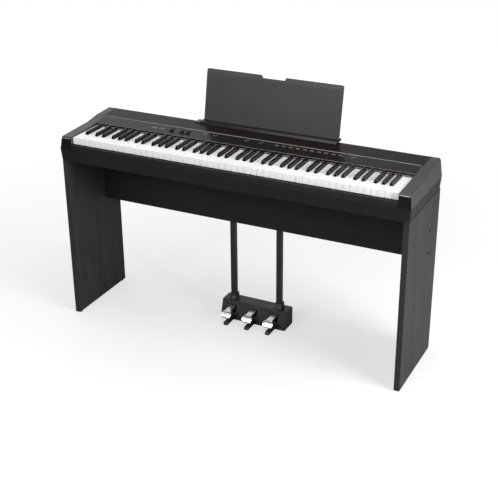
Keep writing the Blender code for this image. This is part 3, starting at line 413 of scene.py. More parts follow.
def circuit_mask(name, rgb):
    """Solder mask over square-cornered copper runs."""

    def base(tree):
        bricks = add(
            tree,
            "TexBrick",
            Vector=object_place(tree),
            Color1=rgba(rgb, 1.5),
            Color2=rgba(rgb),
            Mortar=rgba(rgb, 0.45),
            Scale=60.0,
            Mortar_Size=0.05,
        )
        return bricks.outputs["Color"]

    def roughness(tree):
        return between(tree, noise(tree, object_place(tree), 50.0, 3.0), 0.30, 0.50)

    return finish_of(name, base, roughness)


def make_finishes(tones):
    """Every finish, by the name that the pieces use."""
    length_of_key = (1, 0.05, 1)
    return {
        "case": moulded("case_plastic", tones.case, 0.42, Specular_IOR_Level=0.30),
        "block": moulded(
            "end_block_plastic", tones.block, 0.36, 0.10, 0.00005, 900.0, Specular_IOR_Level=0.66
        ),
        # The blocks' front faces in a darker copy of their plastic: painted shade. The ledge uses it too.
        "painted_shade_nose_and_ledge": moulded("end_block_painted_shade_nose", tones.painted_shade_nose_and_ledge, 0.24, 0.08, 0.00001, Specular_IOR_Level=0.30),
        "deck": brushed("deck_brushed", tones.deck, 0.27, (0.03, 1, 1), Specular_IOR_Level=0.10),
        "strip": moulded("strip_gloss", tones.strip, 0.20, 0.06, 0.000004, 300.0, Specular_IOR_Level=0.41),
        "white": moulded("key_white", tones.white, 0.30, 0.015, 0.000006, 500.0, Specular_IOR_Level=0.20),
        "black": brushed("key_black", tones.black, 0.18, length_of_key, Specular_IOR_Level=0.19),
        "felt": felt_cloth("felt_red", tones.felt),
        "rest": moulded("rest_plastic", tones.rest, 0.50, 0.05, 0.00004, 1700.0),
        "board_up": wood_foil("board_foil_upright", tones.board, "z"),
        # Darker than the upright boards' foil: painted shade under the keyboard.
        "board_across_painted_shade": wood_foil("board_foil_across_painted_shade", tones.panel, "x"),
        "post": moulded("post_paint", tones.post, 0.38, 0.08, 0.00003, 800.0, Specular_IOR_Level=0.40),
        "box": moulded("pedal_box_plastic", tones.box, 0.45),
        "glide": moulded("glide_plastic", tones.glide, 0.55),
        "chrome": plated("pedal_chrome", tones.chrome, 0.20),
        "steel": plated("plated_steel", tones.steel, 0.32, 0.12),
        "bolt": plated("bolt_black", tones.bolt, 0.42, 0.12),
        "button": moulded("button_plastic", tones.button, 0.36, 0.08, 0.00001),
        "row": moulded("button_row_plastic", tones.row, 0.45, 0.10, 0.00001),
        "mark": moulded("mark_ink", tones.mark, 0.60, 0.06, 0.000004),
        "circuit": circuit_mask("circuit_mask", tones.board_green),
        # Light colour for the edge beads, a painted highlight, and for the button rims.
        "painted_highlight_and_rims": moulded("painted_highlight_and_rim_satin", tones.painted_highlight_and_rims, 0.30, 0.06, 0.000006),
        # Light colour for the end blocks' beads: painted highlight.
        "painted_highlight_bead": moulded("painted_highlight_bright", tones.painted_highlight_bead, 0.28, 0.05, 0.000004),
        "recess": moulded("recess_black", tones.recess, 0.60, 0.10, 0.00002, Specular_IOR_Level=0.15),
    }


FINISHES = {}


# Shapes


def outline_shape(points, sweep):
    """A flat outline pushed along a vector into a closed body."""
    shape = bmesh.new()
    face = shape.faces.new([shape.verts.new(point) for point in points])
    pushed = bmesh.ops.extrude_face_region(shape, geom=[face])
    bmesh.ops.translate(shape, vec=sweep, verts=verts_in(pushed["geom"]))
    bmesh.ops.recalc_face_normals(shape, faces=shape.faces)
    return shape


def verts_in(geometry):
    return [item for item in geometry if isinstance(item, bmesh.types.BMVert)]


def copy_of(node):
    """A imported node's shape with its triangles merged back into whole faces."""
    shape = bmesh.new()
    shape.from_mesh(frame["nodes"][node].data)
    bmesh.ops.remove_doubles(shape, verts=shape.verts, dist=1e-6)
    bmesh.ops.dissolve_limit(
        shape, angle_limit=math.radians(0.6), verts=shape.verts, edges=shape.edges
    )
    return shape


def bevelled(shape, edges, radius, segments):
    """Rounds some edges."""
    bmesh.ops.bevel(
        shape,
        geom=edges,
        offset=radius,
        offset_type="OFFSET",
        segments=segments,
        profile=0.5,
        affect="EDGES",
        clamp_overlap=True,
        material=-1,
    )
    return shape


def round_edges(shape, radius, segments=2, chosen=None, above=28):
    """Rounds the outward edges that turn by more than an angle, or only the chosen ones of them."""
    edges = [
        edge
        for edge in shape.edges
        if len(edge.link_faces) == 2
        and edge.calc_face_angle_signed(0) > math.radians(above)
        and (chosen is None or chosen(edge))
    ]
    return bevelled(shape, edges, radius, segments)


def span(edge):
    """How far an edge reaches along each axis."""
    first, second = (vert.co for vert in edge.verts)
    return Vector(abs(a - b) for a, b in zip(first, second))


def at_level(z):
    """Chooses the edges whose two ends are at a height."""

    def chosen(edge):
        return min(vert.co.z for vert in edge.verts) > z - 1e-6

    return chosen


def cut_across(shape, point, normal):
    """Adds a line of edges where a plane crosses the shape."""
    everything = shape.verts[:] + shape.edges[:] + shape.faces[:]
    bmesh.ops.bisect_plane(shape, geom=everything, plane_co=point, plane_no=normal, dist=1e-7)


def turned(profile, sides=32, hollow=False):
    """A round body about Z, from (radius, z) points. They start and end on the axis, or go round a hollow."""
    shape = bmesh.new()
    points = [shape.verts.new((radius, 0, z)) for radius, z in profile]
    following = points[1:] + points[:1] if hollow else points[1:]
    edges = [shape.edges.new(pair) for pair in zip(points, following)]
    bmesh.ops.spin(
        shape, geom=points + edges, axis=(0, 0, 1), angle=math.tau, steps=sides, use_merge=True
    )
    bmesh.ops.remove_doubles(shape, verts=shape.verts, dist=1e-6)
    bmesh.ops.recalc_face_normals(shape, faces=shape.faces)
    return shape


def ring(outer, inner, height, lip, sides=32):
    """A round collar about Z with a rounded lip."""
    corners = [(inner, 0), (outer, 0), (outer, height), (inner, height)]
    return round_edges(turned(corners, sides, hollow=True), lip, 3, above=60)


def moved(shape, place, turn=None):
    matrix = Matrix.Translation(place)
    if turn:
        matrix = matrix @ turn
    bmesh.ops.transform(shape, matrix=matrix, verts=shape.verts)
    return shape


def about(axis, degrees):
    return Matrix.Rotation(math.radians(degrees), 4, axis)


def together(shapes):
    """Several shapes in one bmesh."""
    whole = bmesh.new()
    for shape in shapes:
        spare = bpy.data.meshes.new("spare")
        shape.to_mesh(spare)
        whole.from_mesh(spare)
        shape.free()
        bpy.data.meshes.remove(spare)
    return whole


def body_of(node):
    return frame["nodes"][node]["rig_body"]


def middle_of(node):
    """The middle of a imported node's box."""
    low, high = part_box(node)
    return (low + high) / 2


def piece(name, shape, finish, body="root", replaces=(), smooth=38):
    """A finished piece: its mesh in place, its finish, the body it moves with and what it stands for."""
    mesh = bpy.data.meshes.new(name)
    shape.to_mesh(mesh)
    shape.free()
    mesh.materials.append(FINISHES[finish])
    mesh.shade_smooth()
    mesh.set_sharp_from_angle(angle=math.radians(smooth))
    made = bpy.data.objects.new(name, mesh)
    bpy.context.scene.collection.objects.link(made)
    flatter = made.modifiers.new("Even Faces", "WEIGHTED_NORMAL")
    flatter.keep_sharp = True
    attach(made, body)
    if replaces:
        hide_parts(*replaces)
    return made


def eased(name, node, radius, finish, segments=2):
    """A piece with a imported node's own shape and rounded edges."""
    shape = round_edges(copy_of(node), radius, segments)
    return piece(name, shape, finish, body_of(node), [node])


def on_strip(shape, x, y, rise=0.0):
    """Lays a shape made about the origin on the inclined strip."""
    z = STRIP_FRONT_Z + (y - STRIP_LOW.y) * math.tan(STRIP_LEAN) + rise
    return moved(shape, (x, y, z), Matrix.Rotation(STRIP_LEAN, 4, "X"))


def rounded_tile(width, depth, height, corner, edge, sides=3):
    """A flat tile about the origin with round corners in plan and a rounded top edge."""
    half_x, half_y = width / 2, depth / 2
    points = [(-half_x, -half_y, 0), (half_x, -half_y, 0), (half_x, half_y, 0), (-half_x, half_y, 0)]
    shape = outline_shape(points, (0, 0, height))
    bevelled(shape, [side for side in shape.edges if span(side).z > height / 2], corner, sides)
    return round_edges(shape, edge, 2, at_level(height))


def round_plan(width, depth, corner, steps=5):
    """Points round a rectangle with round corners, about the origin."""
    points = []
    for quarter in range(4):
        centre_x = (width / 2 - corner) * (1 if quarter in (0, 3) else -1)
        centre_y = (depth / 2 - corner) * (1 if quarter in (0, 1) else -1)
        for i in range(steps + 1):
            angle = math.pi / 2 * (quarter + i / steps)
            points.append((centre_x + corner * math.cos(angle), centre_y + corner * math.sin(angle)))
    return points


def open_frame(outer, hole, height, outer_corner, hole_corner, edge):
    """A flat frame about the origin, with an opening right through it and rounded upper edges."""
    shape = bmesh.new()
    rings = []
    for size, corner in ((outer, outer_corner), (hole, hole_corner)):
        rings.append([shape.verts.new((x, y, 0)) for x, y in round_plan(*size, corner)])
    around, inside = rings
    count = len(around)
    faces = []
    for i in range(count):
        after = (i + 1) % count
        faces.append(shape.faces.new((around[i], around[after], inside[after], inside[i])))
    pushed = bmesh.ops.extrude_face_region(shape, geom=faces)
    bmesh.ops.translate(shape, vec=(0, 0, height), verts=verts_in(pushed["geom"]))
    bmesh.ops.recalc_face_normals(shape, faces=shape.faces)
    return round_edges(shape, edge, 2, at_level(height), 60)


def dish(shape, margin, depth):
    """Presses the top of a tile in, inside a margin."""
    top = max(shape.faces, key=lambda face: face.calc_center_median().z)
    bmesh.ops.inset_region(shape, faces=[top], thickness=margin, use_even_offset=True)
    bmesh.ops.translate(shape, vec=(0, 0, -depth), verts=top.verts)
    return shape


# Keys


def octave_left_x(octave):
    """Left edge of an octave's C, from the middle octave's."""
    return KEY_LOW.x - KEY_GAP / 2 + (octave - 4) * 7 * KEY_PITCH


def white_number(note):
    return note - sum(1 for black in BLACK_NOTES if black < note)


def black_centre(octave, note):
    """The tails of C to E share three pitches equally, and those of F to B share four."""
    left = octave_left_x(octave)
    if note < 5:
        return left + (note + 0.5) * 3 * KEY_PITCH / 5
    return left + 3 * KEY_PITCH + (note - 5 + 0.5) * 4 * KEY_PITCH / 7


def white_key(octave, note, sizes):
    """A white key: an overhanging top with soft edges, and a tail between the black keys."""
    left = octave_left_x(octave) + white_number(note) * KEY_PITCH + KEY_GAP / 2
    right = left + KEY_PITCH - KEY_GAP
    tail_left, tail_right = left, right
    if note - 1 in BLACK_NOTES and (octave, note) != (0, 9):
        tail_left = black_centre(octave, note - 1) + BLACK_WIDTH / 2 + KEY_GAP
    if note + 1 in BLACK_NOTES and octave < 8:
        tail_right = black_centre(octave, note + 1) - BLACK_WIDTH / 2 - KEY_GAP
    front, back, head = KEY_LOW.y, KEY_HIGH.y, BLACK_LOW.y - 2 * KEY_GAP
    plan = [(left, front), (right, front), (right, head)]
    if tail_right != right:
        plan.append((tail_right, head))
    plan += [(tail_right, back), (tail_left, back)]
    if tail_left != left:
        plan.append((tail_left, head))
    if tail_left != left or tail_right != right:
        plan.append((left, head))
    corners = [(x, y, KEY_LOW.z) for x, y in dict.fromkeys(plan)]
    shape = outline_shape(corners, (0, 0, KEY_TOP - KEY_LOW.z))
    under = KEY_TOP - sizes.key_lip_height
    cut_across(shape, (0, 0, under), (0, 0, 1))
    cut_across(shape, (0, 0, under - sizes.key_lip), (0, 0, 1))
    for vert in shape.verts:
        if vert.co.y < front + NEARLY and vert.co.z < under - sizes.key_lip / 2:
            vert.co.y += sizes.key_lip
    visible = STRIP_HIGH.y

    def top_or_corner(edge):
        a, b = (vert.co for vert in edge.verts)
        level = min(a.z, b.z) > KEY_TOP - NEARLY
        corner = max(a.y, b.y) < front + sizes.key_lip * 1.5 and abs(a.x - b.x) < 1e-6
        return (level or corner) and min(a.y, b.y) < visible

    return round_edges(shape, sizes.key_edge, 3, top_or_corner, 20)


def black_key(octave, note, sizes):
    """A black key: a cap with a leaning front, sides that close in and a soft top, and its lower tail."""
    cap_inset, front_slope, tail_drop = 0.0130, 0.0050, 0.0010
    x = black_centre(octave, note)
    cap_end = STRIP_LOW.y - cap_inset
    front, top, tail = BLACK_LOW.y, BLACK_HIGH.z, KEY_TOP - tail_drop
    profile = [
        (front, KEY_LOW.z),
        (front, KEY_TOP),
        (front + front_slope, top),
        (cap_end, top),
        (cap_end, tail),
        (KEY_HIGH.y, tail),
        (KEY_HIGH.y, KEY_LOW.z),
    ]
    half = BLACK_WIDTH / 2
    shape = outline_shape([(x - half, y, z) for y, z in profile], (2 * half, 0, 0))
    for vert in shape.verts:
        if vert.co.z > top - NEARLY:
            vert.co.x = x + (vert.co.x - x) * sizes.black_taper

    def cap(edge):
        return max(vert.co.z for vert in edge.verts) > top - 1e-4

    return round_edges(shape, sizes.black_edge, 4, cap, 20)


def tail_bar(keys):
    """The hidden bar that joins a unit's keys at their tails."""
    inset, depth, below_top = 0.0003, 0.0160, 0.0020
    xs = [vert.co.x for shape in keys for vert in shape.verts]
    left, right = min(xs), max(xs)
    front, back = KEY_HIGH.y - depth, KEY_HIGH.y - inset
    low, high = KEY_LOW.z + inset, KEY_TOP - below_top
    plan = [(left, front, low), (right, front, low), (right, back, low), (left, back, low)]
    return round_edges(outline_shape(plan, (0, 0, high - low)), 0.0008)


def notes_of(octaves):
    """(octave, note) of the keys in some octaves, from A0 to C8."""
    every = [(0, note) for note in (9, 10, 11)]
    every += [(octave, note) for octave in range(1, 8) for note in range(12)] + [(8, 0)]
    return [(octave, note) for octave, note in every if octave in octaves]


def make_keys(sizes):
    """The middle octave key by key, and the other octaves as the units they are moulded in."""
    for note, name in enumerate(NOTE_NAMES):
        node = f"key_{name}4"
        shade, build = ("black", black_key) if note in BLACK_NOTES else ("white", white_key)
        key = build(4, note, sizes)
        piece(f"{shade}_{name}4", key, shade, body_of(node), [node])
    for unit, octaves in KEY_UNITS.items():
        node = f"key_unit_{unit}"
        notes = notes_of(octaves)
        whites = [white_key(*place, sizes) for place in notes if place[1] not in BLACK_NOTES]
        blacks = [black_key(*place, sizes) for place in notes if place[1] in BLACK_NOTES]
        whites.append(tail_bar(whites + blacks))
        piece(f"whites_{unit}", together(whites), "white", body_of(node), [node])
        piece(f"blacks_{unit}", together(blacks), "black", body_of(node), [node])


# Case


def make_case(sizes):
    edge = sizes.case_edge
    eased("lower_band", "lower_case", edge, "case")
    eased("slip_rail", "key_slip", edge, "case", 3)
    eased("floor_plate", "bottom_plate", edge / 2, "case")
    eased("back_plate", "rear_panel", edge / 2, "case")
    eased("deck_cover", "top_cover", edge, "deck", 3)
    eased("strip_panel", "control_panel", edge / 2, "strip")
    eased("felt_band", "felt_strip", edge / 2, "felt")
    # Light beads along the deck's and the strip's front edges: painted highlight.
    edge_highlight_bead("deck_painted_highlight", STRIP_HIGH.y, STRIP_HIGH.z, sizes.deck_painted_highlight)
    strip_y = STRIP_LOW.y + sizes.strip_painted_highlight / 4
    edge_highlight_bead("strip_painted_highlight", strip_y, STRIP_FRONT_Z - sizes.strip_painted_highlight / 2, sizes.strip_painted_highlight)


def edge_highlight_bead(name, y, z, width):
    """A bar with an arched top along the case, a little proud of the edge it covers; its light colour is a
    painted highlight along that edge.
    """
    steps = 8
    reach, rise = width / 2, width * 0.32
    half_length = STRIP_HIGH.x - 0.0005
    profile = [(-half_length, y - reach, z - reach)]
    for i in range(steps + 1):
        angle = math.pi * (1 - i / steps)
        profile.append((-half_length, y + reach * math.cos(angle), z + rise * math.sin(angle)))
    profile.append((-half_length, y + reach, z - reach))
    piece(name, outline_shape(profile, (2 * half_length, 0, 0)), "painted_highlight_and_rims", smooth=60)


def end_block(node, sizes):
    """An end block with a stepped front under its rounded top."""
    shape = copy_of(node)
    low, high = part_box(node)
    front_top = max((v.co for v in shape.verts if v.co.y < KEY_LOW.y), key=lambda point: point.z).z
    step = front_top - sizes.block_reveal_drop
    cut_across(shape, (0, 0, step), (0, 0, 1))
    cut_across(shape, (0, 0, step + sizes.block_reveal), (0, 0, 1))
    for vert in shape.verts:
        if vert.co.y < KEY_LOW.y and vert.co.z > step + sizes.block_reveal / 2:
            vert.co.y += sizes.block_reveal
    outer_part = max(abs(low.x), abs(high.x)) - 0.020
    top_level = front_top - 0.001

    def crown(edge):
        a, b = (vert.co for vert in edge.verts)
        if min(a.z, b.z) <= top_level:
            return False
        along = span(edge).y > 0.005 and min(abs(a.x), abs(b.x)) > outer_part
        return along or max(a.y, b.y) < KEY_LOW.y

    round_edges(shape, sizes.block_edge, 4, crown)
    return round_edges(shape, sizes.case_edge / 2, 2, lambda edge: not crown(edge), 40)


def make_end_blocks(sizes):
    """The blocks, whose front faces take a darker finish as painted shade, and in the step of each front a
    small rounded bar whose light colour is a painted highlight.
    """
    painted_shade_depth = 0.0050
    highlight_depth, highlight_height = 0.0016, 0.0012
    for side in ("left", "right"):
        node = f"end_block_{side}"
        low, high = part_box(node)
        shape = end_block(node, sizes)
        # The faces at the very front take the second, darker finish: painted shade on each block's front.
        for face in shape.faces:
            face.material_index = int(face.calc_center_median().y < low.y + painted_shade_depth)
        block = piece(f"block_{side}", shape, "block", "root", [node])
        block.data.materials.append(FINISHES["painted_shade_nose_and_ledge"])
        inner, outer = sorted((low.x, high.x), key=abs)
        # Its light colour is a painted highlight along the step in the block's front.
        painted_highlight_bead = rounded_tile((high.x - low.x) * 0.70, highlight_depth, highlight_height, 0.0006, 0.0003)
        place = (
            inner + (outer - inner) * 0.44,
            low.y + sizes.block_reveal + 0.0040,
            KEY_TOP + 0.0025 - sizes.block_reveal_drop,
        )
        piece(f"block_painted_highlight_{side}", moved(painted_highlight_bead, place), "painted_highlight_bead")


def make_rest(sizes):
    """The rest, whose top bends back a little, and the ledge it stands in."""
    bending = sizes.rest_band / 2
    shape = copy_of("music_rest")
    up = Vector((0, math.sin(REST_LEAN), math.cos(REST_LEAN)))
    foot = min((vert.co.copy() for vert in shape.verts), key=lambda point: point.dot(up))
    reach = max((vert.co - foot).dot(up) for vert in shape.verts)
    start = reach - sizes.rest_band
    steps = 5
    for i in range(steps):
        cut_across(shape, foot + up * (start + i * bending / steps), up)
    pivot = foot + up * start
    for vert in shape.verts:
        above = (vert.co - foot).dot(up) - start
        if above > 1e-6:
            share = min(1.0, above / bending)
            turn = Matrix.Rotation(-sizes.rest_bend * share, 3, "X")
            vert.co = pivot + turn @ (vert.co - pivot)
    round_edges(shape, sizes.rest_edge, 3)
    piece("rest_plate", shape, "rest", body_of("music_rest"), ["music_rest"])
    make_rest_rail()


def make_rest_rail():
    """The ledge, which thins to a tongue where it runs on past the rest's left end."""
    tongue_drop, tongue_depth, slope = 0.0048, 0.0325, 0.0030
    shape = copy_of("rest_ledge")
    low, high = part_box("rest_ledge")
    slope_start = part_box("music_rest")[0].x - 0.0030
    tongue_start = slope_start - slope
    for x in (slope_start, tongue_start):
        cut_across(shape, (x, 0, 0), (1, 0, 0))
    for vert in shape.verts:
        if vert.co.x < tongue_start + NEARLY:
            if vert.co.z > high.z - 1e-4:
                vert.co.z -= tongue_drop
            vert.co.y = min(vert.co.y, low.y + tongue_depth)
    round_edges(shape, 0.0007, 3)
    piece("rest_rail", shape, "painted_shade_nose_and_ledge", "root", ["rest_ledge"])


# Controls


def pressed_cap(width, depth, above):
    """A cap from under the strip to a little above it, with round corners and a dished top."""
    shape = rounded_tile(width, depth, CAP_DEPTH + above, min(width, depth) * 0.42, 0.0004, 4)
    bmesh.ops.translate(shape, vec=(0, 0, -CAP_DEPTH), verts=shape.verts)
    return dish(shape, 0.0009, 0.0003)


def printed_bar(width, depth, corner, edge):
    """A thin printed bar about the origin."""
    return rounded_tile(width, depth, PRINT_THICKNESS, corner, edge)


def make_buttons():
    """Caps with a mark each, the rims round them, and the row of ten on its two combs."""
    rim_size, play, cap_rise, dish_rise = (0.0200, 0.0105), 0.0008, 0.0014, 0.0011
    rims = []
    for node in ("power_button", "function_button"):
        low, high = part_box(node)
        x, y = middle_of(node).xy
        width, depth = high.x - low.x, high.y - low.y
        rim = open_frame(rim_size, (width + play, depth + play), 0.0006, 0.0050, 0.0030, 0.0002)
        rims.append(on_strip(rim, x, y, PRINT_LIFT))
        cap = on_strip(pressed_cap(width, depth, cap_rise), x, y)
        piece(node.replace("button", "cap"), cap, "button", body_of(node), [node])
        mark = on_strip(printed_bar(0.0046, 0.0018, 0.0008, 0.00005), x, y, dish_rise)
        piece(node.replace("button", "cap_mark"), mark, "mark", body_of(node))
    piece("button_rims", together(rims), "painted_highlight_and_rims")
    for node in COMBS:
        row = button_comb(node)
        piece(node.replace("button", "row"), row, "row", body_of(node), [node])


def button_comb(node):
    """Five caps of the row on the web that joins them."""
    count, width, depth, rise = 5, 0.0150, 0.0070, 0.0012
    low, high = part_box(node)
    x, y = middle_of(node).xy
    pitch = (high.x - low.x - width) / (count - 1)
    parts = []
    for i in range(count):
        parts.append(on_strip(pressed_cap(width, depth, rise), low.x + width / 2 + i * pitch, y))
    web = rounded_tile(high.x - low.x, high.y - low.y, 0.0012, 0.0010, 0.0003)
    return together([*parts, moved(web, (x, y, low.z))])


def slider_cap(width, depth):
    """A cap with a grooved top, and its stem down through the slot."""
    base, top = 0.0008, 0.0084
    half_top = depth * 0.36
    grooves, half_groove, groove_depth = 3, 0.0006, 0.0007
    stem_foot, stem_height = -0.0080, 0.0095
    profile = [(depth / 2, base), (half_top, top)]
    for i in range(grooves):
        middle = half_top - (i + 0.5) * 2 * half_top / grooves
        profile += [(middle + half_groove, top), (middle, top - groove_depth), (middle - half_groove, top)]
    profile += [(-half_top, top), (-depth / 2, base)]
    cap = outline_shape([(-width / 2, y, z) for y, z in profile], (width, 0, 0))
    round_edges(cap, 0.0004, 2, lambda edge: span(edge).x < 1e-6, 20)
    stem = rounded_tile(0.0020, 0.0050, stem_height, 0.0006, 0.0002)
    bmesh.ops.translate(stem, vec=(0, 0, stem_foot), verts=stem.verts)
    return together([cap, stem])


def make_sliders(sizes):
    """The caps, a light line on each, and the dark frames round their slots."""
    cap_depth, line_rise, frame_height = 0.0100, 0.0078, 0.0003
    outer = (sizes.slot_width, sizes.slot_length)
    opening = (sizes.slot_opening, sizes.slot_length - 2 * sizes.slot_end)
    y = middle_of("power_button").y
    frames = []
    for node in SLIDERS:
        low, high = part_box(node)
        x = middle_of(node).x
        width = high.x - low.x
        cap = on_strip(slider_cap(width, cap_depth), x, y)
        piece(node.replace("slider", "knob"), cap, "button", body_of(node), [node])
        line = on_strip(printed_bar(width - 0.0016, 0.0008, 0.0002, 0.00004), x, y, line_rise)
        piece(node.replace("slider", "knob_line"), line, "mark", body_of(node))
        surround = open_frame(outer, opening, frame_height, 0.0014, 0.0010, 0.0001)
        frames.append(on_strip(surround, x, y, PRINT_LIFT))
    piece("slider_surrounds", together(frames), "recess")


def make_marks():
    """Plain printed marks between the controls: short bars with a small ring behind each."""
    y = middle_of("button_comb_left").y
    marks = []
    for x in MARK_PLACES:
        bar = printed_bar(0.0075, 0.0016, 0.0007, 0.00005)
        circle = ring(0.0022, 0.0015, PRINT_THICKNESS, 0.00004, 20)
        marks.append(on_strip(bar, x, y - 0.002, PRINT_LIFT))
        marks.append(on_strip(circle, x + 0.0060, y + 0.005, PRINT_LIFT))
    piece("strip_marks", together(marks), "mark")


# Stand and pedals


def socket_screw(radius, height, key_width):
    """A round head about Z with a bevelled rim and a round recess for the key."""
    flat = radius * 0.82
    shape = turned([(0, 0), (radius, 0), (radius, height * 0.6), (flat, height), (0, height)], 24)
    top = [face for face in shape.faces if face.calc_center_median().z > height - 1e-6]
    crown = bmesh.ops.dissolve_faces(shape, faces=top)["region"]
    bmesh.ops.inset_region(shape, faces=crown, thickness=flat - key_width / 2)
    bmesh.ops.translate(shape, vec=(0, 0, -height * 0.55), verts=crown[0].verts)
    return shape


def board_bolt(node, sizes):
    """A bolt across a board: its head outside, and its shank inside."""
    low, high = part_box(node)
    y, z = middle_of(node).yz
    inner, outer = sorted((low.x, high.x), key=abs)
    outward = math.copysign(1, outer)
    turn = about("Y", 90 * outward)
    depth = abs(outer - inner) - sizes.bolt_head
    head = socket_screw((high.z - low.z) / 2, sizes.bolt_head, 0.0050)
    shank = turned([(0, 0), (0.0026, 0), (0.0030, 0.0006), (0.0030, depth), (0, depth)], 16)
    moved(head, (outer - outward * sizes.bolt_head, y, z), turn)
    moved(shank, (inner, y, z), turn)
    return together([head, shank])


def board_foot(node):
    """A turned glide with soft edges."""
    low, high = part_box(node)
    x, y = middle_of(node).xy
    radius, height = (high.x - low.x) / 2, high.z - low.z
    profile = [(0, 0), (radius * 0.80, 0), (radius * 0.93, height * 0.12), (radius, height * 0.34)]
    profile += [(radius, height * 0.9), (radius * 0.95, height), (0, height)]
    return moved(turned(profile), (x, y, low.z))


def make_stand(sizes):
    """Boards in foil, posts, feet, and bolts with socket heads."""
    for side in ("left", "right"):
        eased(f"board_{side}", f"side_board_{side}", sizes.board_edge, "board_up")
        eased(f"leg_post_{side}", f"post_{side}", sizes.post_edge, "post", 4)
        for level in ("lower", "upper"):
            node = f"bolt_{side}_{level}"
            piece(f"screw_{side}_{level}", board_bolt(node, sizes), "bolt", "root", [node])
        for end in ("front", "rear"):
            node = f"glide_{side}_{end}"
            piece(f"foot_{side}_{end}", board_foot(node), "glide", "root", [node])
    # The board across the back takes the darker foil: painted shade.
    eased("rear_board", "back_panel", sizes.board_edge, "board_across_painted_shade")


def lever_plan(arm_half, toe_half, corner, axis_y, neck_y, lip_y):
    """Half of a lever's outline, as (distance from the middle, y) from the axle to the lip."""
    flare_steps, corner_steps = 8, 6
    plan = [(arm_half, axis_y), (arm_half, neck_y)]
    flare_end = lip_y + corner
    for i in range(1, flare_steps + 1):
        t = i / flare_steps
        spread = (3 - 2 * t) * t * t
        plan.append((arm_half + (toe_half - arm_half) * spread, neck_y + (flare_end - neck_y) * t))
    for i in range(1, corner_steps + 1):
        angle = math.pi / 2 * i / corner_steps
        plan.append((toe_half - corner + corner * math.cos(angle), flare_end - corner * math.sin(angle)))
    return plan


def pedal_lever(node, sizes):
    """A plated lever: a straight arm that flares into a rounded toe plate and curls down at its lip."""
    arm_half, thickness = 0.0110, 0.0060
    neck_top, lip_top, lip_lead = 0.0530, 0.0360, 0.0016
    bore, hub_radius = 0.0034, 0.0085
    low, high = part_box(node)
    x = middle_of(node).x
    neck_y, lip_y, axis_y = low.y + 0.029, low.y, high.y - hub_radius
    half_plan = lever_plan(arm_half, (high.x - low.x) / 2, sizes.toe_corner, axis_y, neck_y, lip_y)
    plan = half_plan + [(-across, y) for across, y in reversed(half_plan)]
    shape = outline_shape([(x + across, y, neck_top) for across, y in plan], (0, 0, -thickness))
    steps = 14
    for i in range(1, steps):
        cut_across(shape, (0, neck_y + (lip_y - neck_y) * i / steps, 0), (0, 1, 0))
    for vert in shape.verts:
        t = max(0.0, (neck_y - vert.co.y) / (neck_y - lip_y))
        vert.co.z -= (neck_top - lip_top) * t**2.4
        vert.co.y += lip_lead * t * (neck_top - vert.co.z) / thickness / 2
    round_edges(shape, sizes.pedal_edge, 3, above=40)
    hub = ring(hub_radius, bore, 2 * arm_half, 0.0006)
    moved(hub, (x - arm_half, axis_y, middle_of("pedal_axle").z), about("Y", 90))
    return together([shape, hub])


def make_pedals(sizes):
    for node in PEDALS:
        lever = pedal_lever(node, sizes)
        piece(node.replace("pedal", "lever"), lever, "chrome", body_of(node), [node], 50)
    eased("pedal_cover", "pedal_box", 0.0014, "box", 3)
    eased("pedal_foot", "pedal_base", 0.0022, "glide", 3)


def speaker_cover(node, foot):
    """A ring with slats across it, over a speaker's hole."""
    slats, slat_pitch, slat_reach = 7, 0.0052, 0.0190
    x, y = middle_of(node).xy
    parts = [moved(ring(0.0218, 0.0185, 0.0024, 0.0004), (x, y, foot + 0.0003))]
    for i in range(slats):
        offset = (i - (slats - 1) / 2) * slat_pitch
        half = math.sqrt(slat_reach**2 - offset**2)
        slat = rounded_tile(2 * half, 0.0022, 0.0014, 0.0010, 0.0003)
        parts.append(moved(slat, (x, y + offset, foot + 0.0008)))
    return parts


def make_underside():
    """Slatted covers over the speaker holes, screws under the case, and collars in the sockets."""
    plate_low, plate_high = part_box("bottom_plate")
    covers = speaker_cover("speaker_left", plate_low.z) + speaker_cover("speaker_right", plate_low.z)
    piece("speaker_covers", together(covers), "glide")
    screws = []
    for x in CASE_SCREW_PLACES:
        for y in (plate_low.y + 0.018, plate_high.y - 0.012):
            screw = socket_screw(0.0034, 0.0012, 0.0026)
            screws.append(moved(screw, (x, y, plate_low.z), about("X", 180)))
    piece("case_screws", together(screws), "steel")
    first_x, pitch, depth = -0.3180, 0.0340, 0.0062
    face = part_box("rear_panel")[1].y - 0.0052
    collars = []
    for i, radius in enumerate(SOCKET_RADII):
        collar = ring(radius - 0.0002, radius * 0.62, depth, 0.0005, 24)
        centre = (first_x + i * pitch, face, plate_low.z + 0.0220)
        collars.append(moved(collar, centre, about("X", -90)))
    piece("socket_collars", together(collars), "button")


def dress_inside():
    """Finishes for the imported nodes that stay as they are."""
    inner = {
        "key_frame": "steel",
        "pedal_axle": "steel",
        "main_board": "circuit",
        "speaker_left": "glide",
        "speaker_right": "glide",
    }
    for node, finish in inner.items():
        mesh = frame["nodes"][node].data
        mesh.materials.clear()
        mesh.materials.append(FINISHES[finish])


# Stage


def lamp(name, place, size, watts, aim):
    data = bpy.data.lights.new(name, "AREA")
    data.shape = "RECTANGLE"
    data.size, data.size_y = size
    data.energy = watts
    made = bpy.data.objects.new(name, data)
    made.location = place
    made.rotation_euler = (Vector(aim) - Vector(place)).to_track_quat("-Z", "Y").to_euler()
    bpy.context.scene.collection.objects.link(made)


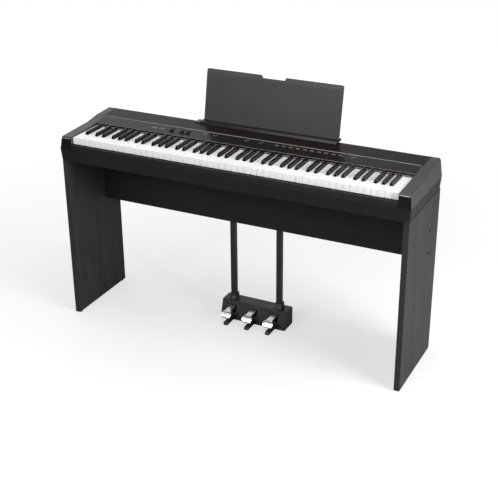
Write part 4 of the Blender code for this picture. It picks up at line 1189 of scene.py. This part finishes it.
def make_camera(stage):
    yaw, pitch, roll = stage.turn
    ahead = Vector((-math.sin(yaw) * math.cos(pitch), math.cos(yaw) * math.cos(pitch), -math.sin(pitch)))
    right = Vector((math.cos(yaw), math.sin(yaw), 0))
    up = right.cross(ahead)
    tilt = Matrix.Rotation(roll, 3, -ahead)
    right, up = tilt @ right, tilt @ up
    data = bpy.data.cameras.new("camera")
    data.lens = stage.lens
    data.sensor_width = 36.0
    made = bpy.data.objects.new("camera", data)
    turn = Matrix((right, up, -ahead)).transposed().to_4x4()
    made.matrix_world = Matrix.Translation(Vector(stage.eye)) @ turn
    bpy.context.scene.collection.objects.link(made)
    bpy.context.scene.camera = made


def split_for_camera(tree, seen, otherwise, output):
    """Gives the output one shader for what the camera sees, and another for the light that it sends."""
    by_camera = add(tree, "LightPath").outputs["Is Camera Ray"]
    mixed = add(tree, "MixShader", Fac=by_camera)
    tree.links.new(otherwise.outputs[0], mixed.inputs[1])
    tree.links.new(seen.outputs[0], mixed.inputs[2])
    tree.links.new(mixed.outputs[0], tree.nodes[output].inputs["Surface"])


def make_floor(stage):
    shape = bmesh.new()
    bmesh.ops.create_grid(shape, x_segments=8, y_segments=8, size=9)
    mesh = bpy.data.meshes.new("floor")
    shape.to_mesh(mesh)
    shape.free()
    ground = bpy.data.materials.new("floor_paint")
    ground.use_nodes = True
    tree = ground.node_tree
    paint = tree.nodes["Principled BSDF"]
    paint.inputs["Roughness"].default_value = 0.9
    paint.inputs["Base Color"].default_value = rgba(stage.floor)
    place = add(tree, "TexCoord").outputs["Object"]
    # The glow that the camera sees grows from the object outwards: painted shadow on the floor round the
    # object.
    distance = add(tree, "VectorMath", {"operation": "LENGTH"}, Vector=place).outputs["Value"]
    glow_range = {"From_Min": 0.4, "From_Max": 3.0, "To_Min": stage.near_glow_painted_shadow, "To_Max": stage.backdrop}
    far = add(tree, "MapRange", Value=distance, **glow_range)
    glow = add(tree, "Emission", Color=(1, 1, 1, 1), Strength=far.outputs["Result"])
    both = add(tree, "AddShader")
    tree.links.new(paint.outputs[0], both.inputs[0])
    tree.links.new(glow.outputs[0], both.inputs[1])
    split_for_camera(tree, both, paint, "Material Output")
    mesh.materials.append(ground)
    made = bpy.data.objects.new("floor", mesh)
    made.location = (0, 0, packed_box[0].z)
    bpy.context.scene.collection.objects.link(made)


def make_world(stage):
    world = bpy.data.worlds.new("studio")
    bpy.context.scene.world = world
    world.use_nodes = True
    tree = world.node_tree
    room = tree.nodes["Background"]
    room.inputs["Color"].default_value = (1, 1, 1, 1)
    around = add(tree, "TexCoord").outputs["Generated"]
    toward = add(tree, "VectorMath", {"operation": "DOT_PRODUCT"})
    tree.links.new(around, toward.inputs[0])
    toward.inputs[1].default_value = (-math.sin(stage.wall_yaw), math.cos(stage.wall_yaw), 0)
    wall_range = {"From_Min": 0.35, "From_Max": 0.85, "To_Min": 0.05, "To_Max": 0.95}
    wall = add(tree, "MapRange", Value=toward.outputs["Value"], **wall_range)
    tree.links.new(wall.outputs["Result"], room.inputs["Strength"])
    bright = add(tree, "Background", Color=(1, 1, 1, 1), Strength=1.0)
    split_for_camera(tree, bright, room, "World Output")


# Operators


class PIANO_OT_stage(bpy.types.Operator):
    """Makes the camera, the pale floor and the soft lights"""

    bl_idname = "piano.stage"
    bl_label = "Stage"

    def execute(self, context):
        stage = context.scene.piano_stage
        context.scene.view_settings.view_transform = "Standard"
        make_camera(stage)
        make_floor(stage)
        make_world(stage)
        for name, values in SOFTBOXES.items():
            lamp(name, *values)
        return {"FINISHED"}


class PIANO_OT_finishes(bpy.types.Operator):
    """Mixes every finish from its colour"""

    bl_idname = "piano.finishes"
    bl_label = "Finishes"

    def execute(self, context):
        FINISHES.update(make_finishes(context.scene.piano_colours))
        return {"FINISHED"}


class PIANO_OT_keys(bpy.types.Operator):
    """Builds the 88 keys"""

    bl_idname = "piano.keys"
    bl_label = "Keys"

    def execute(self, context):
        make_keys(context.scene.piano_sizes)
        return {"FINISHED"}


class PIANO_OT_case(bpy.types.Operator):
    """Builds the case, the deck, the control strip and the felt"""

    bl_idname = "piano.case"
    bl_label = "Case"

    def execute(self, context):
        make_case(context.scene.piano_sizes)
        make_end_blocks(context.scene.piano_sizes)
        return {"FINISHED"}


class PIANO_OT_controls(bpy.types.Operator):
    """Builds the buttons, the sliders and the printed marks"""

    bl_idname = "piano.controls"
    bl_label = "Controls"

    def execute(self, context):
        make_buttons()
        make_sliders(context.scene.piano_sizes)
        make_marks()
        return {"FINISHED"}


class PIANO_OT_rest(bpy.types.Operator):
    """Builds the music rest and its ledge"""

    bl_idname = "piano.rest"
    bl_label = "Music Rest"

    def execute(self, context):
        make_rest(context.scene.piano_sizes)
        return {"FINISHED"}


class PIANO_OT_stand(bpy.types.Operator):
    """Builds the stand's boards, posts, feet and bolts"""

    bl_idname = "piano.stand"
    bl_label = "Stand"

    def execute(self, context):
        make_stand(context.scene.piano_sizes)
        return {"FINISHED"}


class PIANO_OT_pedals(bpy.types.Operator):
    """Builds the pedals and their box"""

    bl_idname = "piano.pedals"
    bl_label = "Pedals"

    def execute(self, context):
        make_pedals(context.scene.piano_sizes)
        return {"FINISHED"}


class PIANO_OT_underside(bpy.types.Operator):
    """Builds what shows under and behind the case, and finishes the inner parts"""

    bl_idname = "piano.underside"
    bl_label = "Underside and Back"

    def execute(self, context):
        make_underside()
        dress_inside()
        return {"FINISHED"}


OPERATORS = (
    PIANO_OT_stage,
    PIANO_OT_finishes,
    PIANO_OT_keys,
    PIANO_OT_case,
    PIANO_OT_controls,
    PIANO_OT_rest,
    PIANO_OT_stand,
    PIANO_OT_pedals,
    PIANO_OT_underside,
)


class PIANO_PT_panel(bpy.types.Panel):
    """Lists the steps in the order they are made"""

    bl_idname = "PIANO_PT_panel"
    bl_label = "Slab Digital Piano"
    bl_space_type = "VIEW_3D"
    bl_region_type = "UI"
    bl_category = "Piano"

    def draw(self, context):
        for step in OPERATORS:
            self.layout.operator(step.bl_idname)
        for group in (context.scene.piano_sizes, context.scene.piano_colours, context.scene.piano_stage):
            box = self.layout.box()
            for name in group.__annotations__:
                box.prop(group, name)


CLASSES = (PianoSizes, PianoColours, PianoStage, *OPERATORS, PIANO_PT_panel)


def register():
    for one in CLASSES:
        bpy.utils.register_class(one)
    bpy.types.Scene.piano_sizes = PointerProperty(type=PianoSizes)
    bpy.types.Scene.piano_colours = PointerProperty(type=PianoColours)
    bpy.types.Scene.piano_stage = PointerProperty(type=PianoStage)


def unregister():
    del bpy.types.Scene.piano_stage
    del bpy.types.Scene.piano_colours
    del bpy.types.Scene.piano_sizes
    for one in reversed(CLASSES):
        bpy.utils.unregister_class(one)


def main():
    register()
    for step in OPERATORS:
        group, name = step.bl_idname.split(".")
        getattr(getattr(bpy.ops, group), name)()


if __name__ == "__main__":
    main()
